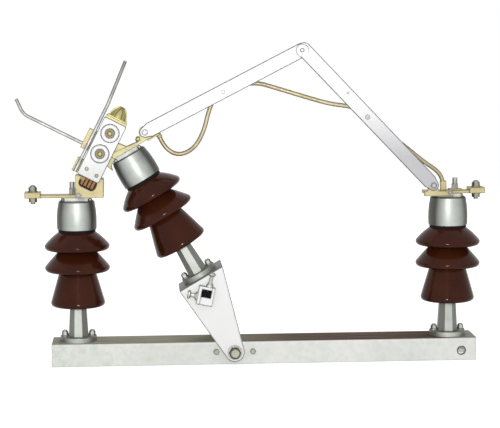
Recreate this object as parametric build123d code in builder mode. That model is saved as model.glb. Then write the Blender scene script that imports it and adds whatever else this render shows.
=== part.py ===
# Substation disconnect switch: one pole with two fixed post insulators, a rocking post insulator
# and a pair of folding current arms, all carried by a steel channel.
# Millimetres. X runs along the channel, Y away from the front, Z up from the channel's underside.
import os
from math import atan2, cos, degrees, pi, radians, sin, tan

from build123d import *

os.makedirs("parts", exist_ok=True)

# General fits
OVERRUN = 2.0
FIT_GAP = 0.3
PIN_FIT = 0.1

# Base channel, web up and flanges down
BASE_LENGTH = 766.0
BASE_WIDTH = 75.0
BASE_HEIGHT = 41.5
BASE_WALL = 5.0
BASE_BEND = 4.0
END_HOLE_DIAMETER = 14.0
END_HOLE_INSET = 27.0
END_HOLE_HEIGHT = 18.0

# Post insulators, with heights from the foot of each post
POST_INSET = 47.0
POST_HEIGHT = 254.0
FLANGE_RADIUS = 32.8
FLANGE_THICKNESS = 9.0
FLANGE_FILLET = 2.0
STEM_SIDES = 8
STEM_FOOT_HALF = 17.5
STEM_TOP_HALF = 14.0
STEM_TOP = 72.0
STEM_SEAT_RADIUS = 20.0
BELL_RADIUS = 48.7
BELL_RIM_DROP = 2.0
BELL_RIM_ROUND = 6.5
BELL_RIM_START = -110.0
BELL_RIM_TURN = 126.0
BELL_TOP_SHARE = 0.42
NECK_RADIUS = 33.0
SHED_RADIUS = 58.4
SHED_RIM_ROUND = 6.5
SHED_RIM_START = -85.0
SHED_RIM_TURN = 125.0
SHED_DROP_SHARE = 0.246
SHED_UNDERSIDE_RISE = 4.0
LOWER_SHED_SHARE = 0.484
UPPER_SHED_SHARE = 0.794
CEMENT_RADIUS = 33.4
CEMENT_HEIGHT = 5.0
CAP_HEIGHT = 51.0
CAP_RIM_RADIUS = 35.2
CAP_BULGE_RADIUS = 35.7
CAP_CREASE_RADIUS = 34.7
CAP_SHOULDER_RADIUS = 32.2
CAP_SHOULDER_BEVEL = 2.0
CAP_BULGE_SHARE = 0.3
CAP_CREASE_SHARE = 0.66

# Adaptor plates and brass straps on the caps
ADAPTOR_LENGTH = 42.0
ADAPTOR_WIDTH = 25.4
ADAPTOR_THICKNESS = 6.0
STRAP_WIDTH = 26.0
STRAP_THICKNESS = 5.5
PAD_LENGTH = 28.0
PAD_THICKNESS = 10.5
PAD_WIDTH = 30.0
LEFT_STRAP_REACH = 91.5
LEFT_STRAP_TAIL = 48.0
RIGHT_STRAP_REACH = 65.0
RIGHT_STRAP_TAIL = 46.0

# Terminal bolts and strap studs
BOLT_DIAMETER = 8.0
HEX_ACROSS = 13.0
HEX_HEIGHT = 8.0
BOLT_TAIL = 3.5
STUD_DIAMETER = 9.0
STUD_TAIL = 11.0
STUD_NUT_ACROSS = 11.0
STUD_NUT_HEIGHT = 11.0
STUD_NUT_TURN = 30.0
STUD_SADDLE_GAP = 0.8
RIGHT_STUD_SHIFT = 12.5

# Fixed contact: a leaning jaw of two plates in a brass saddle
JAW_SHIFT = 48.0
JAW_CAP_REACH = 45.19
JAW_CAP_RISE = 11.89
JAW_LEAN = 27.0
PLATE_WIDTH = 43.0
PLATE_LENGTH = 108.0
PLATE_THICKNESS = 3.0
PLATE_CORNER = 4.0
PLATE_TAIL = 5.0
PLATE_CHAMFER = 0.9
SADDLE_WALL = 3.0
SADDLE_GAP = 0.4
SADDLE_LENGTH = 50.0
SADDLE_LEFT = -1.0
SADDLE_BACK_HEIGHT = 41.0
SADDLE_FRONT_HEIGHT = 33.0
WINDOW_LENGTH = 32.0
WINDOW_HEIGHT = 20.0
WINDOW_CORNER = 8.0
WINDOW_ACROSS = 4.0
WINDOW_ALONG = -67.0
LEAF_COUNT = 4
LEAF_THICKNESS = 4.2
LEAF_PITCH = 6.6
LEAF_TOP = -36.0
LEAF_LENGTH = 38.0
JAW_BOLT_UPPER = 31.0
JAW_BOLT_LOWER = -9.5
JAW_BOLT_DIAMETER = 9.0
WASHER_DIAMETER = 34.0
WASHER_THICKNESS = 2.5
WASHER_CHAMFER = 1.0
JAW_NUT_DIAMETER = 15.0
JAW_NUT_HEIGHT = 6.0
CROWN_BASE_LENGTH = 40.0
CROWN_BASE_THICKNESS = 4.0
CROWN_COLLAR_LENGTH = 36.0
CROWN_COLLAR_THICKNESS = 3.0
CROWN_RADIUS = 15.0
CROWN_TIP_RADIUS = 3.5
CROWN_HEIGHT = 19.0
CROWN_SWELL = -2.2
CROWN_FINS = 3
CROWN_FIN_THICKNESS = 3.6
CROWN_FIN_STAND = 1.8

# Arcing horns and their brass holders, in the jaw's own leaning frame
HORN_DIAMETER = 6.0
LONG_HORN_ACROSS = -26.0
LONG_HORN_FOOT = -58.0
LONG_HORN_BEND = 75.0
LONG_HORN_TIP_ACROSS = -32.0
LONG_HORN_TIP = 158.0
LONG_HORN_DEPTH = -16.0
HORN_BEND_RADIUS = 30.0
LONG_HOLDER_WIDTH = 11.0
LONG_HOLDER_LENGTH = 26.0
SHORT_HOLDER_WIDTH = 15.0
SHORT_HOLDER_LENGTH = 38.0
SHORT_HOLDER_CENTRE = 3.0
SHORT_HOLDER_DEPTH = 14.0
HOLDER_TAB = 12.0
SHORT_HORN_START_ACROSS = -27.0
SHORT_HORN_START = -8.0
SHORT_HORN_BEND_ACROSS = -152.9
SHORT_HORN_BEND = -8.3
SHORT_HORN_TIP_ACROSS = -175.8
SHORT_HORN_TIP = 10.3
SHORT_HORN_DEPTH = 4.0

# Rocker: a folded bracket that swings on a shaft through the channel's flanges
ROCKER_LEAN = 30.0
ROCKER_RISE = 146.0
ROCKER_SHIFT = 15.0
ROCKER_WIDTH = 88.0
ROCKER_WALL = 4.0
ROCKER_SIDE_GAP = 5.5
ROCKER_FOOT_RADIUS = 17.5
ROCKER_BEND = 3.5
ROCKER_CHAMFER = 1.2
SHAFT_DIAMETER = 16.0
SHAFT_NUT_ACROSS = 22.0
SHAFT_NUT_HEIGHT = 9.0
SHAFT_TAIL = 3.0
SHAFT_COLLAR_DIAMETER = 30.0
PIVOT_PLATE_LENGTH = 92.0
PIVOT_PLATE_HEIGHT = 26.0
PIVOT_PLATE_THICKNESS = 6.0
PIVOT_BOLT_SPACING = 66.0
PIVOT_BOLT_DIAMETER = 6.0
PIVOT_BOLT_HEAD = 11.0
PIVOT_BOLT_HEAD_HEIGHT = 4.0

# Strap, ear and moving contact on the rocking insulator, measured from its axis and cap
MOVING_STRAP_LEFT = -17.0
MOVING_STRAP_RIGHT = 60.0
MOVING_STRAP_TAPER = 24.0
MOVING_STRAP_END = 10.0
CHEEK_LEFT = -26.0
CHEEK_BEVEL = 3.0
CHEEK_RISE = 6.0
CHEEK_END = 26.0
CHEEK_GAP = 0.3
EAR_ACROSS = 47.0
EAR_RISE = 8.5
EAR_RADIUS = 11.0
EAR_WIDTH = 30.0
EAR_THICKNESS = 5.0
BLADE_HALF_DEPTH = 10.0
BLADE_RIGHT = 8.0
BLADE_PEAK_ACROSS = -5.0
BLADE_PEAK_RISE = 28.0
BLADE_SHOULDER_ACROSS = -23.0
BLADE_SHOULDER_RISE = 27.0
BLADE_NOSE_ACROSS = -43.0
BLADE_NOSE_RISE = 3.0
BLADE_HEEL_ACROSS = -38.0
BLADE_HEEL_RISE = -11.0
BLADE_CAP_GAP = 3.0
BLADE_CHAMFER = 1.0

# Current arms, pinned at the ear, at the apex and at the right lug
ARM_WIDTH = 26.0
ARM_THICKNESS = 5.0
ARM_GAP = 1.0
ARM_END_RADIUS = 9.5
ARM_NECK = 12.5
ARM_CHAMFER = 1.2
APEX_REACH = 237.2
APEX_RISE = 243.9
RIGHT_PIN_INSET = 30.3
RIGHT_PIN_RISE = 10.5
ARM_PIN_DIAMETER = 8.0
ARM_PIN_HEAD = 11.0
ARM_PIN_HEAD_HEIGHT = 3.0
APEX_HOLE_DIAMETER = 16.0
APEX_HOLE_SHIFT_X = 3.5
APEX_HOLE_SHIFT_Z = 0.95
APEX_HEAD_DIAMETER = 22.0
APEX_HEAD_HEIGHT = 2.5
LUG_RADIUS = 8.5
LUG_LENGTH = 52.0
LUG_FOOT_HEIGHT = 9.5
LUG_NECK_WIDTH = 20.0

# Bare flexible conductor behind the arms
CABLE_DIAMETER = 8.0
CABLE_RUN_SHARE = 0.45


def upright(depth):
    """A plane facing the front at the given depth, with X across and Z up."""
    return Plane.XZ.offset(-depth)


def leaning(x, z, lean, depth=0):
    """An upright plane at a point, turned so that its own Y leans to the left by the angle."""
    across = (cos(radians(lean)), 0, sin(radians(lean)))
    return Plane(origin=(x, depth, z), x_dir=across, z_dir=(0, -1, 0))


def level(side, rise, across=0):
    """A plane square to a side plane's own Y, at the given rise along it."""
    start = side.origin + side.y_dir * rise + side.x_dir * across
    return Plane(origin=start, x_dir=side.x_dir, z_dir=side.y_dir)


def at_depth(side, depth):
    """The same upright plane moved to another depth."""
    return side.offset(-depth)


def turned(side, angle):
    """The same side plane turned about its own Y."""
    across = side.x_dir * cos(radians(angle)) + side.z_dir * sin(radians(angle))
    return Plane(origin=side.origin, x_dir=across, z_dir=across.cross(side.y_dir))


def save(piece, name):
    """Label a finished piece and write it."""
    piece.part.label = name
    export_step(piece.part, f"parts/{name}.step")


# Heights and places that follow from the sizes above
POST_X = BASE_LENGTH / 2 - POST_INSET
CAP_BOTTOM = POST_HEIGHT - CAP_HEIGHT
PORCELAIN_TOP = CAP_BOTTOM - CEMENT_HEIGHT
PORCELAIN_HEIGHT = PORCELAIN_TOP - STEM_TOP
STRAP_BOTTOM = POST_HEIGHT + ADAPTOR_THICKNESS
STRAP_TOP = STRAP_BOTTOM + STRAP_THICKNESS
PIVOT_Z = BASE_HEIGHT - BASE_WALL - FIT_GAP - PIVOT_PLATE_HEIGHT / 2
ROCKING_LENGTH = ROCKER_RISE + POST_HEIGHT
ROCKING_BACK = ROCKING_LENGTH * sin(radians(ROCKER_LEAN)) - ROCKER_SHIFT * cos(radians(ROCKER_LEAN))
ROCKING_UP = ROCKING_LENGTH * cos(radians(ROCKER_LEAN)) + ROCKER_SHIFT * sin(radians(ROCKER_LEAN))
JAW_X = JAW_SHIFT - POST_X
PIVOT_X = JAW_X + JAW_CAP_REACH + ROCKING_BACK
JAW_Z = PIVOT_Z + ROCKING_UP + JAW_CAP_RISE
RIGHT_PIN_X = POST_X - RIGHT_PIN_INSET
RIGHT_PIN_Z = BASE_HEIGHT + STRAP_TOP + RIGHT_PIN_RISE
APEX_X = RIGHT_PIN_X - APEX_REACH
APEX_Z = RIGHT_PIN_Z + APEX_RISE

# The frames that the pieces are built in
ROCKER = leaning(PIVOT_X, PIVOT_Z, ROCKER_LEAN)
ROCKER_SEAT = ROCKER.origin + ROCKER.y_dir * ROCKER_RISE + ROCKER.x_dir * ROCKER_SHIFT
SEATS = {
    "left": leaning(-POST_X, BASE_HEIGHT, 0),
    "right": leaning(POST_X, BASE_HEIGHT, 0),
    "rocking": leaning(ROCKER_SEAT.X, ROCKER_SEAT.Z, ROCKER_LEAN),
}
JAW = leaning(JAW_X, JAW_Z, -JAW_LEAN)
PLATE_INNER = STRAP_WIDTH / 2 + SADDLE_GAP + SADDLE_WALL
PLATE_OUTER = PLATE_INNER + PLATE_THICKNESS
LEAF_DEPTH = 2 * (PLATE_INNER - SADDLE_WALL - FIT_GAP)
LEFT_ARM_BACK = -STRAP_WIDTH / 2 - ARM_GAP
LEFT_ARM_FRONT = LEFT_ARM_BACK - ARM_THICKNESS
RIGHT_ARM_BACK = LEFT_ARM_FRONT - ARM_GAP
RIGHT_ARM_FRONT = RIGHT_ARM_BACK - ARM_THICKNESS
ROCKER_INNER = BASE_WIDTH / 2 + ROCKER_SIDE_GAP
ROCKER_OUTER = ROCKER_INNER + ROCKER_WALL

# Base channel
with BuildPart() as base_channel:
    with BuildSketch(Plane.YZ):
        with Locations((0, BASE_HEIGHT / 2)):
            Rectangle(BASE_WIDTH, BASE_HEIGHT)
        with Locations((0, (BASE_HEIGHT - BASE_WALL) / 2)):
            Rectangle(BASE_WIDTH - 2 * BASE_WALL, BASE_HEIGHT - BASE_WALL, mode=Mode.SUBTRACT)
    extrude(amount=BASE_LENGTH / 2, both=True)
    folds = base_channel.edges().filter_by(Axis.X).group_by(Axis.Z)[-1]
    fillet(folds, BASE_BEND)
    with BuildSketch(upright(0)):
        with Locations((PIVOT_X, PIVOT_Z)):
            Circle(SHAFT_DIAMETER / 2 + PIN_FIT)
        with Locations((PIVOT_X, PIVOT_Z)):
            with GridLocations(PIVOT_BOLT_SPACING, 0, 2, 1):
                Circle(PIVOT_BOLT_DIAMETER / 2 + PIN_FIT)
        with Locations((BASE_LENGTH / 2 - END_HOLE_INSET, END_HOLE_HEIGHT)):
            Circle(END_HOLE_DIAMETER / 2)
    extrude(amount=BASE_WIDTH / 2 + OVERRUN, both=True, mode=Mode.SUBTRACT)
save(base_channel, "base_channel")

# Plates inside the flanges that stiffen the pivot
with BuildPart() as pivot_plates:
    for face in (BASE_WIDTH / 2 - BASE_WALL, PIVOT_PLATE_THICKNESS + BASE_WALL - BASE_WIDTH / 2):
        with BuildSketch(upright(face)):
            with Locations((PIVOT_X, PIVOT_Z)):
                Rectangle(PIVOT_PLATE_LENGTH, PIVOT_PLATE_HEIGHT)
                Circle(SHAFT_DIAMETER / 2 + PIN_FIT, mode=Mode.SUBTRACT)
                with GridLocations(PIVOT_BOLT_SPACING, 0, 2, 1):
                    Circle(PIVOT_BOLT_DIAMETER / 2 + PIN_FIT, mode=Mode.SUBTRACT)
        extrude(amount=PIVOT_PLATE_THICKNESS)
save(pivot_plates, "pivot_plates")

with BuildPart() as pivot_plate_bolts:
    for side in (-1, 1):
        outer = side * BASE_WIDTH / 2
        inner = outer - side * (BASE_WALL + PIVOT_PLATE_THICKNESS)
        with BuildSketch(upright(inner)):
            with Locations((PIVOT_X, PIVOT_Z)):
                with GridLocations(PIVOT_BOLT_SPACING, 0, 2, 1):
                    Circle(PIVOT_BOLT_DIAMETER / 2)
        extrude(amount=inner - outer)
        with BuildSketch(upright(outer)):
            with Locations((PIVOT_X, PIVOT_Z)):
                with GridLocations(PIVOT_BOLT_SPACING, 0, 2, 1):
                    RegularPolygon(PIVOT_BOLT_HEAD / 2, 6)
        extrude(amount=-side * PIVOT_BOLT_HEAD_HEIGHT)
save(pivot_plate_bolts, "pivot_plate_bolts")

# Pivot shaft with its collars against the channel and a nut outside each cheek of the rocker
with BuildPart() as pivot_shaft:
    shaft_half = ROCKER_OUTER + FIT_GAP + SHAFT_NUT_HEIGHT + SHAFT_TAIL
    with BuildSketch(upright(shaft_half)):
        with Locations((PIVOT_X, PIVOT_Z)):
            Circle(SHAFT_DIAMETER / 2)
    extrude(amount=2 * shaft_half)
    for side in (-1, 1):
        with BuildSketch(upright(side * BASE_WIDTH / 2)):
            with Locations((PIVOT_X, PIVOT_Z)):
                Circle(SHAFT_COLLAR_DIAMETER / 2)
        extrude(amount=-side * (ROCKER_SIDE_GAP - FIT_GAP))
        with BuildSketch(upright(side * (ROCKER_OUTER + FIT_GAP))):
            with Locations((PIVOT_X, PIVOT_Z)):
                RegularPolygon(SHAFT_NUT_ACROSS / 2, 6)
        extrude(amount=-side * SHAFT_NUT_HEIGHT)
save(pivot_shaft, "pivot_shaft")


# Post insulators: a metal foot, a porcelain body with sheds, a cement joint and a metal cap
def make_foot(seat):
    """A round flange with a tapering eight-sided stem."""
    with BuildPart() as foot:
        with BuildSketch(level(seat, 0)):
            Circle(FLANGE_RADIUS)
        extrude(amount=FLANGE_THICKNESS)
        rim = foot.faces().sort_by(Axis(seat.origin, seat.y_dir))[-1].edges()
        fillet(rim, min(FLANGE_FILLET, FLANGE_THICKNESS / 3))
        for rise, half in ((FLANGE_THICKNESS, STEM_FOOT_HALF), (STEM_TOP, STEM_TOP_HALF)):
            with BuildSketch(level(seat, rise)):
                RegularPolygon(half, STEM_SIDES, major_radius=False, rotation=180 / STEM_SIDES)
        loft()
    return foot


def shed_lines(share, under_radius, under_height):
    """One shed's outline: the underside from a given point, the round rim and the domed top up to the neck."""
    rim_height = STEM_TOP + share * PORCELAIN_HEIGHT
    centre = (SHED_RADIUS - SHED_RIM_ROUND, rim_height)
    rim = CenterArc(centre, SHED_RIM_ROUND, SHED_RIM_START, SHED_RIM_TURN)
    Line((under_radius, under_height), rim @ 0)
    return rim


def make_porcelain(seat):
    shed_drop = SHED_DROP_SHARE * PORCELAIN_HEIGHT
    bell_top = STEM_TOP + BELL_TOP_SHARE * PORCELAIN_HEIGHT
    lower_top = STEM_TOP + LOWER_SHED_SHARE * PORCELAIN_HEIGHT + shed_drop
    lower_lip = STEM_TOP + LOWER_SHED_SHARE * PORCELAIN_HEIGHT - SHED_RIM_ROUND + SHED_UNDERSIDE_RISE
    upper_lip = STEM_TOP + UPPER_SHED_SHARE * PORCELAIN_HEIGHT - SHED_RIM_ROUND + SHED_UNDERSIDE_RISE
    with BuildPart() as porcelain:
        with BuildSketch(seat):
            with BuildLine():
                bell_centre = (BELL_RADIUS - BELL_RIM_ROUND, STEM_TOP - BELL_RIM_DROP)
                bell = CenterArc(bell_centre, BELL_RIM_ROUND, BELL_RIM_START, BELL_RIM_TURN)
                Polyline((0, STEM_TOP), (STEM_SEAT_RADIUS, STEM_TOP), bell @ 0)
                TangentArc(bell @ 1, (NECK_RADIUS, bell_top), tangent=bell % 1)
                Line((NECK_RADIUS, bell_top), (NECK_RADIUS, lower_lip))
                lower = shed_lines(LOWER_SHED_SHARE, NECK_RADIUS, lower_lip)
                TangentArc(lower @ 1, (NECK_RADIUS, lower_top), tangent=lower % 1)
                Line((NECK_RADIUS, lower_top), (NECK_RADIUS, upper_lip))
                upper = shed_lines(UPPER_SHED_SHARE, NECK_RADIUS, upper_lip)
                TangentArc(upper @ 1, (NECK_RADIUS, PORCELAIN_TOP), tangent=upper % 1)
                Polyline((NECK_RADIUS, PORCELAIN_TOP), (0, PORCELAIN_TOP), (0, STEM_TOP))
            make_face()
        revolve(axis=Axis(seat.origin, seat.y_dir))
    return porcelain


def make_cement(seat):
    with BuildPart() as cement:
        with BuildSketch(level(seat, PORCELAIN_TOP)):
            Circle(CEMENT_RADIUS)
        extrude(amount=CEMENT_HEIGHT)
    return cement


def make_cap(seat):
    """A barrel with a crease below its shoulder."""
    with BuildPart() as cap:
        with BuildSketch(seat):
            with BuildLine():
                barrel = ThreePointArc(
                    (CAP_RIM_RADIUS, CAP_BOTTOM),
                    (CAP_BULGE_RADIUS, CAP_BOTTOM + CAP_BULGE_SHARE * CAP_HEIGHT),
                    (CAP_CREASE_RADIUS, CAP_BOTTOM + CAP_CREASE_SHARE * CAP_HEIGHT),
                )
                Polyline(
                    barrel @ 1,
                    (CAP_SHOULDER_RADIUS, POST_HEIGHT - CAP_SHOULDER_BEVEL),
                    (CAP_SHOULDER_RADIUS - CAP_SHOULDER_BEVEL, POST_HEIGHT),
                    (0, POST_HEIGHT),
                    (0, CAP_BOTTOM),
                    barrel @ 0,
                )
            make_face()
        revolve(axis=Axis(seat.origin, seat.y_dir))
    return cap


def make_adaptor(seat):
    with BuildPart() as adaptor:
        with BuildSketch(level(seat, POST_HEIGHT)):
            Rectangle(ADAPTOR_LENGTH, ADAPTOR_WIDTH)
        extrude(amount=ADAPTOR_THICKNESS)
    return adaptor


for name, seat in SEATS.items():
    save(make_foot(seat), f"{name}_foot")
    save(make_porcelain(seat), f"{name}_porcelain")
    save(make_cement(seat), f"{name}_cement")
    save(make_cap(seat), f"{name}_cap")
    save(make_adaptor(seat), f"{name}_adaptor")


# Terminal straps: a flat brass bar with a thicker pad at its outer end
def make_strap(seat, reach, tail, outward):
    """A bar that reaches outward from the post's axis, and runs back past it by the tail."""
    with BuildPart() as strap:
        with BuildSketch(level(seat, STRAP_BOTTOM, outward * (reach - tail) / 2)):
            Rectangle(reach + tail, STRAP_WIDTH)
        extrude(amount=STRAP_THICKNESS)
        with BuildSketch(level(seat, STRAP_BOTTOM, outward * (reach - PAD_LENGTH / 2))):
            Rectangle(PAD_LENGTH, PAD_WIDTH)
        extrude(amount=PAD_THICKNESS)
        with BuildSketch(level(seat, STRAP_BOTTOM, outward * (reach - PAD_LENGTH / 2))):
            Circle(BOLT_DIAMETER / 2 + PIN_FIT)
        extrude(amount=PAD_THICKNESS, mode=Mode.SUBTRACT)
    return strap


def make_terminal_bolt(seat, reach, outward):
    """A hexagon bolt through the pad, with its nut below."""
    across = outward * (reach - PAD_LENGTH / 2)
    with BuildPart() as bolt:
        with BuildSketch(level(seat, STRAP_BOTTOM - HEX_HEIGHT - BOLT_TAIL, across)):
            Circle(BOLT_DIAMETER / 2)
        extrude(amount=BOLT_TAIL + HEX_HEIGHT + PAD_THICKNESS)
        with BuildSketch(level(seat, STRAP_BOTTOM - HEX_HEIGHT, across)):
            RegularPolygon(HEX_ACROSS / 2, 6, major_radius=False)
        extrude(amount=HEX_HEIGHT)
        with BuildSketch(level(seat, STRAP_BOTTOM + PAD_THICKNESS, across)):
            RegularPolygon(HEX_ACROSS / 2, 6, major_radius=False)
        extrude(amount=HEX_HEIGHT)
    return bolt


def make_stud(seat, shift):
    """The stud and nut that hold the strap down on its post."""
    with BuildPart() as stud:
        with BuildSketch(level(seat, STRAP_TOP, shift)):
            RegularPolygon(STUD_NUT_ACROSS / 2, 6, major_radius=False, rotation=STUD_NUT_TURN)
        extrude(amount=STUD_NUT_HEIGHT)
        with BuildSketch(level(seat, STRAP_TOP + STUD_NUT_HEIGHT, shift)):
            Circle(STUD_DIAMETER / 2)
        extrude(amount=STUD_TAIL)
    return stud


save(make_strap(SEATS["left"], LEFT_STRAP_REACH, LEFT_STRAP_TAIL, -1), "left_strap")
save(make_terminal_bolt(SEATS["left"], LEFT_STRAP_REACH, -1), "left_terminal_bolt")
LEFT_STUD_SHIFT = SADDLE_LEFT - STUD_SADDLE_GAP - STUD_NUT_ACROSS / 2
save(make_stud(SEATS["left"], LEFT_STUD_SHIFT), "left_stud")
save(make_strap(SEATS["right"], RIGHT_STRAP_REACH, RIGHT_STRAP_TAIL, 1), "right_strap")
save(make_terminal_bolt(SEATS["right"], RIGHT_STRAP_REACH, 1), "right_terminal_bolt")
save(make_stud(SEATS["right"], RIGHT_STUD_SHIFT), "right_stud")

# Brass saddle over the left strap, with a window in its front cheek that is turned with the jaw
LEFT = SEATS["left"]
SADDLE_RIGHT = SADDLE_LEFT + SADDLE_LENGTH
with BuildPart() as contact_saddle:
    with BuildSketch(LEFT):
        with BuildLine():
            Polyline(
                (SADDLE_LEFT, POST_HEIGHT + ADAPTOR_THICKNESS),
                (SADDLE_RIGHT, POST_HEIGHT + ADAPTOR_THICKNESS),
                (SADDLE_RIGHT, POST_HEIGHT + ADAPTOR_THICKNESS + SADDLE_FRONT_HEIGHT),
                (SADDLE_LEFT, POST_HEIGHT + ADAPTOR_THICKNESS + SADDLE_BACK_HEIGHT),
                close=True,
            )
        make_face()
    extrude(amount=PLATE_INNER, both=True)
    with BuildSketch(level(LEFT, STRAP_BOTTOM, SADDLE_LEFT + SADDLE_LENGTH / 2)):
        Rectangle(SADDLE_LENGTH + 2 * OVERRUN, STRAP_WIDTH + 2 * SADDLE_GAP)
    extrude(amount=STRAP_THICKNESS, mode=Mode.SUBTRACT)
    with BuildSketch(level(LEFT, STRAP_TOP + SADDLE_WALL, SADDLE_LEFT + SADDLE_LENGTH / 2)):
        Rectangle(SADDLE_LENGTH + 2 * OVERRUN, STRAP_WIDTH + 2 * SADDLE_GAP)
    extrude(amount=SADDLE_BACK_HEIGHT, mode=Mode.SUBTRACT)
    with BuildSketch(JAW):
        with Locations((WINDOW_ACROSS, WINDOW_ALONG)):
            RectangleRounded(WINDOW_LENGTH, WINDOW_HEIGHT, WINDOW_CORNER)
    extrude(amount=PLATE_INNER + OVERRUN, mode=Mode.SUBTRACT)
save(contact_saddle, "contact_saddle")


# Jaw plates, front and back, with the clamping bolts between them
def make_jaw_plate(back, outer_end):
    """A plate whose outer face, the first or last along Y, has a chamfered rim."""
    with BuildPart() as plate:
        with BuildSketch(at_depth(JAW, back)):
            with Locations((0, -PLATE_TAIL / 2)):
                RectangleRounded(PLATE_WIDTH, PLATE_LENGTH + PLATE_TAIL, PLATE_CORNER)
            with Locations((0, JAW_BOLT_UPPER), (0, JAW_BOLT_LOWER)):
                Circle(JAW_BOLT_DIAMETER / 2 + PIN_FIT, mode=Mode.SUBTRACT)
        extrude(amount=PLATE_THICKNESS)
        rim = plate.faces().sort_by(Axis.Y)[outer_end].outer_wire().edges()
        chamfer(rim, min(PLATE_CHAMFER, PLATE_THICKNESS / 2))
    return plate


save(make_jaw_plate(-PLATE_INNER, 0), "jaw_front_plate")
save(make_jaw_plate(PLATE_OUTER, -1), "jaw_back_plate")


def is_circle(edge, radius):
    return edge.geom_type == GeomType.CIRCLE and abs(edge.radius - radius) < PIN_FIT


with BuildPart() as jaw_bolts:
    bolt_half = PLATE_OUTER + WASHER_THICKNESS + JAW_NUT_HEIGHT
    with BuildSketch(at_depth(JAW, bolt_half)):
        with Locations((0, JAW_BOLT_UPPER), (0, JAW_BOLT_LOWER)):
            Circle(JAW_BOLT_DIAMETER / 2)
    extrude(amount=2 * bolt_half)
    for side in (-1, 1):
        with BuildSketch(at_depth(JAW, side * PLATE_OUTER)):
            with Locations((0, JAW_BOLT_UPPER), (0, JAW_BOLT_LOWER)):
                Circle(WASHER_DIAMETER / 2)
        extrude(amount=-side * WASHER_THICKNESS)
        with BuildSketch(at_depth(JAW, side * (PLATE_OUTER + WASHER_THICKNESS))):
            with Locations((0, JAW_BOLT_UPPER), (0, JAW_BOLT_LOWER)):
                Circle(JAW_NUT_DIAMETER / 2)
        extrude(amount=-side * JAW_NUT_HEIGHT)
    washer_rims = jaw_bolts.edges().filter_by(lambda edge: is_circle(edge, WASHER_DIAMETER / 2))
    for group in (washer_rims.group_by(Axis.Y)[0], washer_rims.group_by(Axis.Y)[-1]):
        chamfer(group, min(WASHER_CHAMFER, WASHER_THICKNESS / 2))
save(jaw_bolts, "jaw_bolts")

# Copper leaves between the jaw plates
with BuildPart() as contact_leaves:
    with BuildSketch(at_depth(JAW, LEAF_DEPTH / 2)):
        with Locations((WINDOW_ACROSS, LEAF_TOP - LEAF_LENGTH / 2)):
            with GridLocations(LEAF_PITCH, 0, LEAF_COUNT, 1):
                Rectangle(LEAF_THICKNESS, LEAF_LENGTH)
    extrude(amount=LEAF_DEPTH)
save(contact_leaves, "contact_leaves")

# Brass crown on the jaw's upper end: a base bar, a collar and a finned dome
CROWN_FOOT = PLATE_LENGTH / 2 + CROWN_BASE_THICKNESS + CROWN_COLLAR_THICKNESS


def crown_outline(stand):
    """Half of the dome's outline, stood off outwards and upwards by the given amount."""
    with BuildLine() as outline:
        side = SagittaArc(
            (CROWN_RADIUS + stand, CROWN_FOOT),
            (CROWN_TIP_RADIUS + stand, CROWN_FOOT + CROWN_HEIGHT + stand),
            CROWN_SWELL,
        )
        Polyline(side @ 1, (0, CROWN_FOOT + CROWN_HEIGHT + stand), (0, CROWN_FOOT), side @ 0)
    return outline.edges()


with BuildPart() as jaw_crown:
    with BuildSketch(level(JAW, PLATE_LENGTH / 2)):
        Rectangle(CROWN_BASE_LENGTH, 2 * PLATE_OUTER)
    extrude(amount=CROWN_BASE_THICKNESS)
    with BuildSketch(level(JAW, PLATE_LENGTH / 2 + CROWN_BASE_THICKNESS)):
        Rectangle(CROWN_COLLAR_LENGTH, 2 * PLATE_INNER)
    extrude(amount=CROWN_COLLAR_THICKNESS)
    with BuildSketch(JAW):
        make_face(crown_outline(0))
    revolve(axis=Axis(JAW.origin, JAW.y_dir))
    for turn in range(2 * CROWN_FINS):
        with BuildSketch(turned(JAW, 180 / CROWN_FINS * turn)):
            make_face(crown_outline(CROWN_FIN_STAND))
        extrude(amount=CROWN_FIN_THICKNESS / 2, both=True)
save(jaw_crown, "jaw_crown")


# Arcing horns and their holders
def make_rod(points, radius):
    with BuildPart() as rod:
        with BuildLine() as path:
            FilletPolyline(*points, radius=radius)
        with BuildSketch(Plane(origin=path.line @ 0, z_dir=path.line % 0)):
            Circle(HORN_DIAMETER / 2)
        sweep()
    return rod


def jaw_point(across, along, depth):
    place = JAW.origin + JAW.x_dir * across + JAW.y_dir * along
    return (place.X, depth, place.Z)


LONG_HORN_ROUTE = [
    jaw_point(LONG_HORN_ACROSS, LONG_HORN_FOOT, LONG_HORN_DEPTH),
    jaw_point(LONG_HORN_ACROSS, LONG_HORN_BEND, LONG_HORN_DEPTH),
    jaw_point(LONG_HORN_TIP_ACROSS, LONG_HORN_TIP, LONG_HORN_DEPTH),
]
SHORT_HORN_ROUTE = [
    jaw_point(SHORT_HORN_START_ACROSS, SHORT_HORN_START, SHORT_HORN_DEPTH),
    jaw_point(SHORT_HORN_BEND_ACROSS, SHORT_HORN_BEND, SHORT_HORN_DEPTH),
    jaw_point(SHORT_HORN_TIP_ACROSS, SHORT_HORN_TIP, SHORT_HORN_DEPTH),
]
long_horn = make_rod(LONG_HORN_ROUTE, HORN_BEND_RADIUS)
save(long_horn, "long_horn")
short_horn = make_rod(SHORT_HORN_ROUTE, HORN_BEND_RADIUS)
save(short_horn, "short_horn")

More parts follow.
